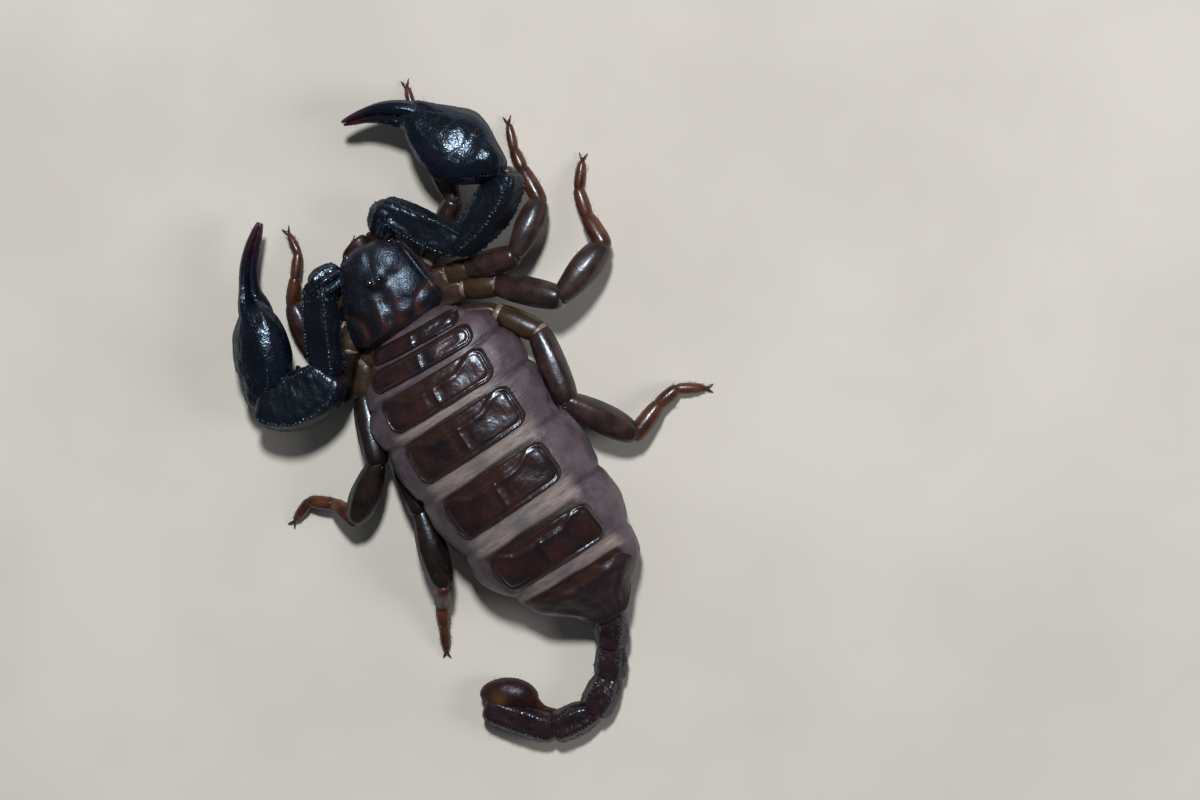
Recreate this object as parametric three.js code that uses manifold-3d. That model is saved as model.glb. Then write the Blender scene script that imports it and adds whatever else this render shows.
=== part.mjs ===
// A wood scorpion at rest, life size, in millimetres.
// The head points to -Y, the animal's right side to -X and its back to +Z. The floor is z = 0.
// The belly plates, the soles and the tail rest on it with small flats at that one level.
import * as THREE from 'three';
import { mergeVertices } from 'three/addons/utils/BufferGeometryUtils.js';
import Module from 'manifold-3d';

const wasm = await Module();
wasm.setup();

// ---- Driving dimensions ----

const JOINT_GAP = 0.1;
const PLATE_GAP = 0.07;
const MERGE_DISTANCE = 1e-4;
const FAR = 60;

// Mesosoma: one row for each of its seven segments, then the rear end.
const TRUNK_FRONT = -11.3;
const TRUNK_REAR = 11.4;
const TRUNK_RINGS = [
  { y: -10.6, half: 3.9, top: 4.5, middle: -0.4 },
  { y: -8.9, half: 5.05, top: 5.1, middle: -0.3 },
  { y: -6.8, half: 5.7, top: 5.7, middle: -0.1 },
  { y: -3.5, half: 5.8, top: 6.1, middle: -0.05 },
  { y: 0.7, half: 5.7, top: 6.2, middle: -0.05 },
  { y: 5.0, half: 5.35, top: 5.9, middle: -0.15 },
  { y: 8.6, half: 3.92, top: 4.6, middle: -0.6 },
  { y: 11.2, half: 1.95, top: 3.2, middle: -0.68 },
];
const TRUNK_WIDEST_LEVEL = 2.7;
const TRUNK_KEEL_LEVEL = -0.7;
const TRUNK_FOLD_DEPTH = 0.22;
const TRUNK_ROUNDNESS = 2.25;
const PLATE_THICKNESS = 0.3;
const BELLY_LEVEL = PLATE_THICKNESS;
const CHEST_LEVEL = 2.35;
const CHEST_REAR = -6.6;

// Back plates: centre, width across, depth fore and aft, turn in degrees.
const TERGITES = [
  { x: -0.45, y: -10.28, across: 6.5, along: 1.1, turn: -5 },
  { x: -0.3, y: -8.98, across: 7.6, along: 1.45, turn: -4 },
  { x: -0.2, y: -6.82, across: 7.8, along: 2.35, turn: -2.5 },
  { x: -0.15, y: -3.6, across: 8.1, along: 2.9, turn: -0.5 },
  { x: -0.1, y: 0.55, across: 7.9, along: 3, turn: 0.5 },
  { x: -0.3, y: 5.1, across: 7.6, along: 2.85, turn: -1.5 },
  { x: -0.6, y: 9.3, across: 7.9, along: 3.5, turn: -3 },
];
const TERGITE_CORNER = 0.8;
const LAST_TERGITE_TAPER = 0.5;

// Belly plates: centre and the same two sizes.
const STERNITES = [
  { y: -4.5, across: 7.6, along: 2.9 },
  { y: -1.2, across: 8.0, along: 3.1 },
  { y: 2.3, across: 7.8, along: 3.3 },
  { y: 5.9, across: 6.8, along: 3.3 },
  { y: 8.85, across: 4.2, along: 1.8 },
];
const STERNITE_CORNER = 0.7;

// Prosoma, in its own frame: rear edge at y = 0, head to -Y.
const PROSOMA_PLACE = [0.1, -11.0, 0];
const PROSOMA_TURN = -12;
const CARAPACE = {
  length: 5.95, halfRear: 3.5, halfFront: 1.82, edge: 2.35, rise: 2, roundness: 2.3,
  frontBow: 0.1, rearSlant: 0.19,
};
const EYE_MOUND = { y: -3.6, halfWidth: 0.52, halfLength: 0.75, halfHeight: 0.55, top: 4.45 };
const MEDIAN_EYE = { apart: 0.64, radius: 0.24, level: 4.3 };
const CHELICERA = { x: 0.98, rear: -4.3, front: -6.42, half: 0.98, height: 0.62, level: 2.1, frontBow: 0.19 };
const CHELICERA_FINGERS = [{ shift: -0.34, lead: 0 }, { shift: 0.24, lead: 0.1 }];
const CHELICERA_FINGER_HALF = [0.28, 0.2];
const STERNUM = { front: -4.6, rear: 3.2, halfFront: 1.7, halfRear: 2.9, bottom: 0.95, top: 2.2 };
const COXA_HALF = 0.95;

// Legs: lengths of trochanter, femur, patella, tibia, basitarsus, telotarsus for each pair.
const LEG_LENGTHS = {
  1: [1.5, 3.2, 3.3, 1.6, 1.6, 1.4],
  2: [1.5, 3.4, 3.8, 2.3, 1.3, 1.7],
  3: [2.2, 4.3, 4.3, 2.1, 1.8, 1.8],
  4: [2.8, 4.6, 4.95, 2.4, 1.5, 1.8],
};
const LEG_BULK = { 1: 0.8, 2: 0.9, 3: 1, 4: 1 };
const ANKLE_LEVELS = [1.0, 0.6, 0.17];

// Pose of each leg: hip, the six headings in degrees from +X, and the levels of the
// trochanter's end, the knee and the patella's end.
const LEGS = {
  right_1: {
    pair: 1, hip: [-3.35, -13.7, 1.4], levels: [1.0, 2.2, 0.9],
    headings: [-153, -149, -97, -96, -99, -106],
  },
  right_2: {
    pair: 2, hip: [-4.1, -12.25, 1.75], levels: [2.0, 3.0, 1.6],
    headings: [165, 164, -147, -92, -96, -110],
  },
  right_3: {
    pair: 3, hip: [-4.55, -10.95, 1.75], levels: [2.2, 3.3, 1.7],
    headings: [155, 138, -163, -89, -104, -131],
  },
  right_4: {
    pair: 4, hip: [-5.35, -8.45, 1.75], levels: [2.2, 3.2, 1.7],
    headings: [125, 81, 114, -161, -173, 145],
  },
  left_1: {
    pair: 1, hip: [2.0, -14.9, 1.6], levels: [1.35, 1.2, 1.0],
    headings: [12, 32, -101, -131, -130, -94],
  },
  left_2: {
    pair: 2, hip: [2.85, -12.85, 1.75], levels: [2.1, 1.6, 1.1],
    headings: [48, 40, -30, -78, -115, -125],
  },
  left_3: {
    pair: 3, hip: [3.6, -10.55, 1.5], levels: [1.6, 2.9, 2.2],
    headings: [52, 70, 33, -60, -36, 19],
  },
  left_4: {
    pair: 4, hip: [3.85, -7.75, 1.3], levels: [1.3, 2.5, 2.7],
    headings: [64, 79, 72, 39, 57, 57],
  },
};
const LEG_HALVES = {
  trochanter: [0.8, 0.82],
  femur: [0.9, 0.92],
  patella: [0.95, 0.95],
  tibia: [0.58, 0.6],
  basitarsus: [0.44, 0.45],
  telotarsus: [0.34, 0.34],
};
const LEG_CLAW = { length: 0.8, radius: 0.2, spread: 28, reach: 0.32, drop: 0.02 };

// Pedipalps: the joints from the shoulder out to the wrist. `chela` then gives the middle and the
// half breadth of the hand and its closed fingers, from the wrist to their tips.
const PEDIPALPS = {
  right: {
    shoulder: [-2.1, -16.7, 2.1], elbow: [-3.55, -17.75, 2.8], knee: [-6.05, -13.55, 3.05],
    wrist: [-11.3, -15.5, 3.1],
    chela: [
      [-11.34, -15.75, 3.05, 0.85], [-10.94, -16.3, 3.07, 1.25], [-10.48, -17, 3.08, 1.68],
      [-10.04, -17.75, 3.06, 2.08], [-9.57, -18.61, 3.03, 2.31], [-9.1, -19.6, 2.98, 2.1],
      [-8.69, -20.61, 2.92, 1.63], [-8.31, -21.48, 2.84, 1.21], [-7.83, -22.03, 2.76, 0.96],
      [-7.15, -22.59, 2.66, 0.8], [-6.47, -23.01, 2.57, 0.64], [-5.7, -23.33, 2.48, 0.47],
      [-4.97, -23.53, 2.4, 0.36], [-4.2, -23.7, 2.33, 0.24],
    ],
    handDepth: [0.86, 0.62], handRoll: 36, fingerRoll: 12, upperRoll: 0,
    lowerHalf: [1.26, 1.2], lowerBow: 1, lowerRoll: -34,
  },
  left: {
    shoulder: [1.4, -16.1, 2.1], elbow: [3, -16.15, 2.9], knee: [5.55, -11.4, 3.3],
    wrist: [10.15, -12.35, 2.7],
    chela: [
      [10.95, -12, 2.7, 0.5], [10.43, -12.55, 2.68, 0.95], [9.71, -13.11, 2.66, 1.42],
      [9.22, -13.58, 2.62, 1.72], [8.62, -14.47, 2.56, 1.86], [8.09, -15.56, 2.5, 1.72],
      [7.75, -16.29, 2.46, 1.48], [7.51, -16.92, 2.42, 1.19], [7.29, -17.53, 2.38, 0.86],
      [7.05, -18.14, 2.35, 0.6], [6.6, -18.95, 2.28, 0.49], [6.05, -19.68, 2.22, 0.46],
      [5.3, -20.42, 2.16, 0.4], [4.55, -21.02, 2.1, 0.3], [3.95, -21.48, 2.05, 0.24],
    ],
    handDepth: [0.92, 0.8], handRoll: 0, fingerRoll: 38, upperRoll: 24,
    lowerHalf: [1.85, 1.5], lowerBow: -1.5, lowerRoll: 14,
  },
};
// Where the hand ends and its fingers start, counted in rows of `chela`.
const HAND_END = 8.3;
const FINGER_START = 5.6;
const FINGER_ROOT = 6;
const PALP = {
  trochanter: [1.02, 0.98],
  femur: [1.08, 0.95],
};

// Tail: the joints of its five segments, lying on its side and curled to the left.
const TAIL_JOINTS = [
  [-0.4, 11, 1.9],
  [0.95, 12.8, 1.25],
  [2.35, 14.5, 0.98],
  [4.55, 15.8, 0.95],
  [7.4, 15.35, 0.95],
  [10.2, 11.85, 0.96],
];
const TAIL_HALVES = [1.18, 1.1, 1.2, 1.26, 1.1];
const TAIL_SQUARENESS = 2.3;
// Its segments are a little flatter than wide, and narrower where they start.
const TAIL_FLATNESS = 0.94;
const TAIL_WAIST = 0.82;
// The middle and half breadth of the sting's bulb, then of its curved point.
const TELSON = [
  [10.1, 11.05, 0.95, 0.5], [9.55, 11.25, 0.98, 0.8], [8.95, 11.6, 1, 0.98], [8.4, 11.97, 1.02, 1.04],
  [7.91, 12.43, 1, 1], [7.56, 12.95, 0.95, 0.84], [7.4, 13.4, 0.9, 0.56],
];
const ACULEUS = [
  [7.5, 13.1, 0.9, 0.46], [7.38, 13.55, 0.86, 0.36], [7.2, 13.95, 0.8, 0.3], [6.9, 14.25, 0.74, 0.26],
  [6.55, 14.5, 0.66, 0.24],
];

// ---- Finishes ----

const FINISHES = {
  membrane: { color: 0x5f5052, roughness: 0.5, metalness: 0 },
  plate: { color: 0x231412, roughness: 0.28, metalness: 0 },
  shield: { color: 0x19161c, roughness: 0.3, metalness: 0 },
  palp: { color: 0x0f121c, roughness: 0.26, metalness: 0 },
  leg: { color: 0x4b3226, roughness: 0.32, metalness: 0 },
  foot: { color: 0x783c23, roughness: 0.38, metalness: 0 },
  tail: { color: 0x17120f, roughness: 0.28, metalness: 0 },
  sting: { color: 0x5a2416, roughness: 0.3, metalness: 0 },
  eye: { color: 0x040405, roughness: 0.06, metalness: 0 },
};

// ---- Solids ----

const UP = new THREE.Vector3(0, 0, 1);
const vector = (p) => new THREE.Vector3(p[0], p[1], p[2]);
const radians = THREE.MathUtils.degToRad;
const mix = THREE.MathUtils.lerp;
const smooth = THREE.MathUtils.smoothstep;

function solidOf(geometry) {
  geometry.deleteAttribute('normal');
  geometry.deleteAttribute('uv');
  const merged = mergeVertices(geometry, MERGE_DISTANCE);
  return new wasm.Manifold(new wasm.Mesh({
    numProp: 3,
    vertProperties: new Float32Array(merged.attributes.position.array),
    triVerts: new Uint32Array(merged.index.array),
  }));
}

function geometryOf(solid) {
  const mesh = solid.getMesh();
  const geometry = new THREE.BufferGeometry();
  geometry.setAttribute('position', new THREE.BufferAttribute(mesh.vertProperties, mesh.numProp));
  geometry.setIndex(new THREE.BufferAttribute(mesh.triVerts, 1));
  return geometry;
}

function boxSolid(low, high) {
  const size = high.map((value, axis) => value - low[axis]);
  const geometry = new THREE.BoxGeometry(...size);
  geometry.translate(...high.map((value, axis) => (value + low[axis]) / 2));
  return solidOf(geometry);
}

const below = (level) => boxSolid([-FAR, -FAR, -FAR], [FAR, FAR, level]);
const above = (level) => boxSolid([-FAR, -FAR, level], [FAR, FAR, FAR]);
const floor = below(0);

const join = (solids) => solids.reduce((whole, solid) => whole.add(solid));

// Cuts a solid back and keeps its main body, without the slivers beyond a cut.
function cut(solid, cutters) {
  const rest = cutters.reduce((kept, cutter) => kept.subtract(cutter), solid);
  return rest.decompose().reduce((main, body) => (body.volume() > main.volume() ? body : main));
}

// Signed power: the rounded-square outline of a section from the cosine or sine of its angle.
const squared = (value, roundness) => Math.sign(value) * Math.abs(value) ** (2 / roundness);

// A closed rounded form along a curve. `half` gives the half width and half height at t, `blunt`
// how square the ends are. `grow` swells it all round, to cut a neighbour with a gap.
function form(curve, half, { grow = 0, blunt = 4, roundness = 2, roll = 0, sides = 10, rings = 7 } = {}) {
  const geometry = new THREE.SphereGeometry(1, sides, rings);
  const positions = geometry.attributes.position;
  const vertex = new THREE.Vector3();
  for (let i = 0; i < positions.count; i++) {
    vertex.fromBufferAttribute(positions, i);
    const t = (1 + vertex.y) / 2;
    const dome = Math.max(0, 1 - Math.abs(2 * t - 1) ** blunt) ** (1 / blunt);
    const angle = Math.atan2(vertex.z, vertex.x);
    const [halfWidth, halfHeight] = half(t);
    const centre = curve.getPoint(t);
    const ahead = curve.getTangent(t).normalize();
    const side = new THREE.Vector3().crossVectors(ahead, UP).normalize().applyAxisAngle(ahead, roll);
    const top = new THREE.Vector3().crossVectors(side, ahead);
    centre.addScaledVector(ahead, grow * (2 * t - 1));
    centre.addScaledVector(side, dome * (halfWidth + grow) * squared(Math.cos(angle), roundness));
    centre.addScaledVector(top, dome * (halfHeight + grow) * squared(Math.sin(angle), roundness));
    positions.setXYZ(i, centre.x, centre.y, centre.z);
  }
  return solidOf(geometry);
}

const line = (from, to) => new THREE.LineCurve3(vector(from), vector(to));
const arc = (points) => new THREE.CatmullRomCurve3(points.map(vector), false, 'catmullrom');

// The curve through measured stations, and the half breadth along it, from one row to another.
function lofted(stations, first = 0, last = stations.length - 1) {
  const middle = arc(stations);
  const breadth = new THREE.SplineCurve(stations.map((row, i) => new THREE.Vector2(i, row[3])));
  const share = (t) => mix(first, last, t) / (stations.length - 1);
  return {
    curve: { getPoint: (t) => middle.getPoint(share(t)), getTangent: (t) => middle.getTangent(share(t)) },
    breadthAt: (t) => breadth.getPoint(share(t)).y,
  };
}

// A joint lets both segments run a little past it, so that they nest.
function stretched(from, to, back, on) {
  const start = vector(from);
  const end = vector(to);
  const ahead = end.clone().sub(start).normalize();
  return new THREE.LineCurve3(start.addScaledVector(ahead, -back), end.addScaledVector(ahead, on));
}

// A run like a stretched one that bulges to its side.
function bowed(from, to, back, on, bow) {
  const start = vector(from);
  const end = vector(to);
  const ahead = end.clone().sub(start).normalize();
  const pull = start.clone().add(end).multiplyScalar(0.5)
    .addScaledVector(new THREE.Vector3().crossVectors(ahead, UP), bow);
  return new THREE.QuadraticBezierCurve3(
    start.addScaledVector(ahead, -back), pull, end.addScaledVector(ahead, on),
  );
}

// ---- Named pieces ----

const scorpion = new THREE.Group();

function addPiece(name, solid, finish, origin) {
  const geometry = geometryOf(solid);
  geometry.translate(-origin[0], -origin[1], -origin[2]);
  const piece = new THREE.Mesh(geometry, new THREE.MeshStandardMaterial(FINISHES[finish]));
  piece.name = name;
  piece.position.set(...origin);
  scorpion.add(piece);
}

// ---- Legs ----

function legJoints({ pair, hip, headings, levels }) {
  const heights = [...levels, ...ANKLE_LEVELS];
  const joints = [hip];
  LEG_LENGTHS[pair].forEach((length, i) => {
    const [x, y, z] = joints[i];
    const drop = heights[i] - z;
    const run = Math.sqrt(length * length - drop * drop);
    const heading = radians(headings[i]);
    joints.push([x + run * Math.cos(heading), y + run * Math.sin(heading), heights[i]]);
  });
  return joints;
}

// A segment's half width and height at t, full at its peak and less at both ends.
const legHalf = (name, bulk, start, end, peak = 0.5) => {
  const [width, height] = LEG_HALVES[name].map((value) => value * bulk);
  return (t) => {
    const swell = Math.sin(Math.PI * t ** (Math.log(0.5) / Math.log(peak)));
    const share = mix(start, end, t) + (1 - mix(start, end, peak)) * swell;
    return [width * share, height * share];
  };
};

function clawForm(tip, heading) {
  const geometry = new THREE.ConeGeometry(LEG_CLAW.radius, LEG_CLAW.length, 4);
  geometry.rotateZ(heading - Math.PI / 2);
  geometry.translate(
    tip[0] + LEG_CLAW.reach * Math.cos(heading),
    tip[1] + LEG_CLAW.reach * Math.sin(heading),
    tip[2] - LEG_CLAW.drop,
  );
  return solidOf(geometry);
}

function legSolids(pose, grow = 0) {
  const joints = legJoints(pose);
  const bulk = LEG_BULK[pose.pair];
  const small = { grow, sides: 5, rings: 4 };
  const large = { grow, sides: 7, rings: 5 };
  const trochanter = form(
    stretched(joints[0], joints[1], 0.15, 0.2),
    legHalf('trochanter', bulk, 0.86, 0.9),
    small,
  );
  const femur = form(stretched(joints[1], joints[2], 0.28, 0.2), legHalf('femur', bulk, 0.82, 0.85), large);
  const patella = form(
    stretched(joints[2], joints[3], 0.3, 0.1),
    legHalf('patella', bulk, 0.6, 0.72, 0.56),
    large,
  );
  const heading = radians(pose.headings[5]);
  const foot = join([
    form(stretched(joints[3], joints[4], 0.3, 0.12), legHalf('tibia', bulk, 0.8, 0.76, 0.4), small),
    form(stretched(joints[4], joints[5], 0.14, 0.08), legHalf('basitarsus', bulk, 0.9, 0.85), small),
    form(stretched(joints[5], joints[6], 0.12, 0), legHalf('telotarsus', bulk, 0.95, 0.9), small),
    ...[-1, 1].map((side) => clawForm(joints[6], heading + radians(side * LEG_CLAW.spread))),
  ]);
  return { joints, upper: trochanter.add(femur), patella, foot };
}

const legs = Object.entries(LEGS).map(([name, pose]) => {
  const own = legSolids(pose);
  const grown = legSolids(pose, JOINT_GAP);
  return { name, own, grown };
});

// ---- Prosoma, built in its own frame and then turned into place ----

const prosomaFrame = new THREE.Matrix4()
  .makeRotationZ(radians(PROSOMA_TURN))
  .setPosition(...PROSOMA_PLACE);
const inBody = (point) => vector(point).applyMatrix4(prosomaFrame).toArray();
const toProsoma = prosomaFrame.clone().invert();
const inProsoma = (point) => vector(point).applyMatrix4(toProsoma).toArray();

// Moves every point of a form by a function of its place in the prosoma's frame.
const reshaped = (solid, backAt) => solid.warp((vert) => {
  const [x, y, z] = inProsoma([vert[0], vert[1], vert[2]]);
  const moved = inBody([x, y + backAt(x, y), z]);
  moved.forEach((value, axis) => { vert[axis] = value; });
});

function carapaceForm(grow = 0) {
  const { length, halfRear, halfFront, edge, rise, roundness, frontBow, rearSlant } = CARAPACE;
  const half = (t) => [mix(halfRear, halfFront, Math.max(0, t - 0.12) ** 1.1), rise * (1 - 0.42 * t ** 1.8)];
  const dome = form(line(inBody([0, 0, edge]), inBody([0, -length, edge])), half,
    { grow, blunt: 4.6, roundness, sides: 18, rings: 9 });
  const { y: moundY, halfWidth, halfLength, halfHeight, top } = EYE_MOUND;
  const mound = form(
    line(
      inBody([0, moundY + halfLength, top - halfHeight]),
      inBody([0, moundY - halfLength, top - halfHeight]),
    ),
    () => [halfWidth, halfHeight],
    { grow, blunt: 2, sides: 8, rings: 5 },
  );
  const roundedOff = reshaped(dome, (x, y) => frontBow * x * x * smooth(-y, length - 0.9, length)
    + rearSlant * x * smooth(y, -2.6, 0));
  return roundedOff.add(mound).subtract(below(edge - grow));
}

const eyePlace = (side) => inBody([side * MEDIAN_EYE.apart / 2, EYE_MOUND.y, MEDIAN_EYE.level]);

function eyeForm(side, grow = 0) {
  const geometry = new THREE.SphereGeometry(MEDIAN_EYE.radius + grow, 7, 5);
  geometry.translate(...eyePlace(side));
  return solidOf(geometry);
}

// A jaw: its broad rounded base, and two stout fingers that fold down under it.
function cheliceraForm(side, grow = 0) {
  const { x, rear, front, half, height, level, frontBow } = CHELICERA;
  const trunk = form(
    line(inBody([side * x * 0.9, rear, level]), inBody([side * x, front, level])),
    () => [half, height],
    { grow, blunt: 7, roundness: 2.5, sides: 10, rings: 6 },
  );
  const fingers = CHELICERA_FINGERS.map(({ shift, lead }) => form(
    arc([
      inBody([side * (x + shift), front + 0.6, level - 0.3]),
      inBody([side * (x + shift * 0.8), front + 0.2 - lead, level - 0.5]),
      inBody([side * (x + shift * 0.4), front + 0.2 - lead, level - 1]),
    ]),
    (t) => [mix(...CHELICERA_FINGER_HALF, t), mix(...CHELICERA_FINGER_HALF, t)],
    { grow, blunt: 3, sides: 6, rings: 4 },
  ));
  const drawnBack = (across, y) => frontBow * across * across * smooth(-y, 4.6, 5.6);
  return reshaped(join([trunk, ...fingers]), drawnBack);
}

// The leg bases fan out from the sternum and are fused with it below the shield.
function chestForm() {
  const { front, rear, halfFront, halfRear, bottom, top } = STERNUM;
  const middle = (bottom + top) / 2;
  const sternum = form(
    line(inBody([0, rear, middle]), inBody([0, front, middle])),
    (t) => [mix(halfRear, halfFront, t), (top - bottom) / 2],
    { blunt: 5, roundness: 3, sides: 8, rings: 4 },
  );
  const coxae = legs.map(({ own }) => {
    const [x, y] = inProsoma(own.joints[0]);
    const root = inBody([0.3 * x, 0.55 * y - 0.5, middle + 0.1]);
    const half = (t) => [COXA_HALF * mix(0.9, 0.95, t), COXA_HALF * mix(0.8, 0.9, t)];
    return form(line(root, own.joints[0]), half, { blunt: 6, sides: 6, rings: 4 });
  });
  const palpCoxae = Object.values(PEDIPALPS).map(({ shoulder }) => {
    const side = Math.sign(inProsoma(shoulder)[0]);
    return form(line(inBody([side * 0.9, -3.2, middle]), shoulder), () => [0.85, 0.75],
      { blunt: 4, sides: 6, rings: 4 });
  });
  return join([sternum, ...coxae, ...palpCoxae]).subtract(above(CARAPACE.edge - JOINT_GAP));
}

// ---- Mesosoma ----

// The rows of TRUNK_RINGS as smooth curves over y; the index of the row gives the segment folds.
const ringCurve = (key) => new THREE.SplineCurve(
  TRUNK_RINGS.map((ring) => new THREE.Vector2(ring.y, ring[key])),
);
const halfCurve = ringCurve('half');
const topCurve = ringCurve('top');
const middleCurve = ringCurve('middle');

function rowAt(y) {
  const last = TRUNK_RINGS.length - 1;
  const next = TRUNK_RINGS.findIndex((ring) => ring.y >= y);
  if (next < 0) return last;
  if (next === 0) return 0;
  const before = TRUNK_RINGS[next - 1].y;
  return next - 1 + (y - before) / (TRUNK_RINGS[next].y - before);
}

function trunkForm(grow = 0) {
  const geometry = new THREE.SphereGeometry(1, 20, 17);
  const positions = geometry.attributes.position;
  const middleY = (TRUNK_FRONT + TRUNK_REAR) / 2;
  const reach = (TRUNK_REAR - TRUNK_FRONT) / 2 + grow;
  for (let i = 0; i < positions.count; i++) {
    const polar = Math.acos(THREE.MathUtils.clamp(positions.getY(i), -1, 1));
    const y = middleY + reach * (1 - 2 * polar / Math.PI);
    const endwise = Math.abs(y - middleY) / reach;
    const dome = Math.max(0, 1 - endwise ** 9) ** (1 / 3);
    const angle = Math.atan2(positions.getZ(i), positions.getX(i));
    const row = rowAt(y);
    const share = row / (TRUNK_RINGS.length - 1);
    const fold = TRUNK_FOLD_DEPTH * Math.sin(Math.PI * row) ** 2;
    const half = halfCurve.getPoint(share).y - fold + grow;
    const up = topCurve.getPoint(share).y - TRUNK_WIDEST_LEVEL + grow;
    const down = TRUNK_WIDEST_LEVEL - TRUNK_KEEL_LEVEL + grow;
    const rise = squared(Math.sin(angle), TRUNK_ROUNDNESS);
    positions.setXYZ(
      i,
      middleCurve.getPoint(share).y + dome * half * squared(Math.cos(angle), TRUNK_ROUNDNESS),
      y,
      TRUNK_WIDEST_LEVEL + dome * rise * (rise > 0 ? up : down),
    );
  }
  const chestSpace = boxSolid([-FAR, -FAR, -FAR], [FAR, CHEST_REAR, CHEST_LEVEL]);
  return solidOf(geometry).subtract(below(BELLY_LEVEL - grow)).subtract(chestSpace);
}

// A rounded panel outline, raised to a column that cuts one plate out of the trunk's own shell.
function panelColumn({ x = 0, y, across, along, turn = 0 }, corner, rearShare, low, high) {
  const radius = Math.min(corner, along / 2 - 0.02);
  const front = -along / 2;
  const rear = along / 2;
  const halfFront = across / 2;
  const halfRear = halfFront * rearShare;
  const outline = new THREE.Shape();
  outline.moveTo(-halfFront + radius, front);
  outline.lineTo(halfFront - radius, front);
  outline.quadraticCurveTo(halfFront, front, mix(halfFront, halfRear, radius / along), front + radius);
  outline.lineTo(mix(halfRear, halfFront, radius / along), rear - radius);
  outline.quadraticCurveTo(halfRear, rear, halfRear - radius, rear);
  outline.lineTo(-halfRear + radius, rear);
  outline.quadraticCurveTo(-halfRear, rear, -mix(halfRear, halfFront, radius / along), rear - radius);
  outline.lineTo(-mix(halfFront, halfRear, radius / along), front + radius);
  outline.quadraticCurveTo(-halfFront, front, -halfFront + radius, front);
  const options = { depth: high - low, bevelEnabled: false, curveSegments: 2 };
  const geometry = new THREE.ExtrudeGeometry(outline, options);
  geometry.rotateZ(radians(turn));
  geometry.translate(x, y, low);
  return solidOf(geometry);
}

const shell = trunkForm(PLATE_THICKNESS).subtract(trunkForm(PLATE_GAP));

// ---- Pectines: a base plate with a comb of teeth on each side ----

const PECTINES = { y: -8.5, level: 0.42, half: 0.25, reach: 3.9, sweep: 14, teeth: 7, toothLength: 0.72 };

function pectinesForm() {
  const { y, level, half, reach, sweep, teeth, toothLength } = PECTINES;
  const base = form(line([-0.1, y - 0.8, level], [-0.1, y + 0.7, level]), () => [0.8, half],
    { sides: 8, rings: 5 });
  const combs = [-1, 1].flatMap((side) => {
    const along = [side * Math.cos(radians(sweep)), Math.sin(radians(sweep))];
    const at = (share, back) => [
      -0.1 + along[0] * reach * share - side * along[1] * back,
      y + along[1] * reach * share + Math.abs(along[0]) * back,
      level,
    ];
    const stem = form(line(at(0, 0), at(1, 0)), (t) => [mix(0.5, 0.36, t), half],
      { sides: 6, rings: 4 });
    const row = Array.from({ length: teeth }, (_, i) => {
      const share = mix(0.2, 0.86, i / (teeth - 1));
      return form(line(at(share, 0.1), at(share, toothLength)), () => [0.2, 0.25], { sides: 4, rings: 3 });
    });
    return [stem, ...row];
  });
  return join([base, ...combs]);
}

// ---- Tail ----

function tailForm(i, grow = 0) {
  const half = TAIL_HALVES[i];
  const last = i === TAIL_HALVES.length - 1;
  const waist = (t) => (last ? 0.86 + 0.14 * Math.sin(Math.PI * Math.min(1, 0.18 + t * 0.74))
    : mix(TAIL_WAIST, 1, smooth(t, 0.05, 0.6)));
  return form(
    stretched(TAIL_JOINTS[i], TAIL_JOINTS[i + 1], 0.3, 0.12),
    (t) => [half * waist(t), half * waist(t) * TAIL_FLATNESS],
    { grow, blunt: 5, roundness: TAIL_SQUARENESS, sides: 10, rings: 6 },
  );
}

function telsonForm(grow = 0) {
  const bulb = lofted(TELSON);
  const point = lofted(ACULEUS);
  const round = ({ breadthAt }) => (t) => [breadthAt(t), breadthAt(t) * TAIL_FLATNESS];
  return form(bulb.curve, round(bulb), { grow, blunt: 3.2, sides: 10, rings: 8 })
    .add(form(point.curve, round(point), { grow, blunt: 5, sides: 6, rings: 5 }));
}

// ---- Pedipalps ----

// One of the two closed fingers: part is 1 for the moving one and -1 for the fixed one.
function fingerForm(pose, side, part, grow) {
  const { curve, breadthAt } = lofted(pose.chela, FINGER_START);
  const roll = radians(side * pose.fingerRoll);
  const free = (t) => smooth(t, 0.02, 0.32);
  const beside = (t) => {
    const ahead = curve.getTangent(t).normalize();
    const away = new THREE.Vector3().crossVectors(ahead, UP).normalize().multiplyScalar(-side * part);
    away.applyAxisAngle(ahead, roll);
    return curve.getPoint(t)
      .addScaledVector(away, mix(0.3, 0.5, free(t)) * breadthAt(t) / Math.cos(roll))
      .addScaledVector(UP, -0.25 * (1 - free(t)));
  };
  const half = (t) => {
    const breadth = breadthAt(t) * mix(0.72, 1, free(t));
    return [Math.max(0.2, 0.53 * breadth), 0.12 + 0.62 * breadth];
  };
  return form({ getPoint: beside, getTangent: curve.getTangent }, half,
    { grow, roll: -roll / 2, blunt: 9, sides: 6, rings: 8 });
}

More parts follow.
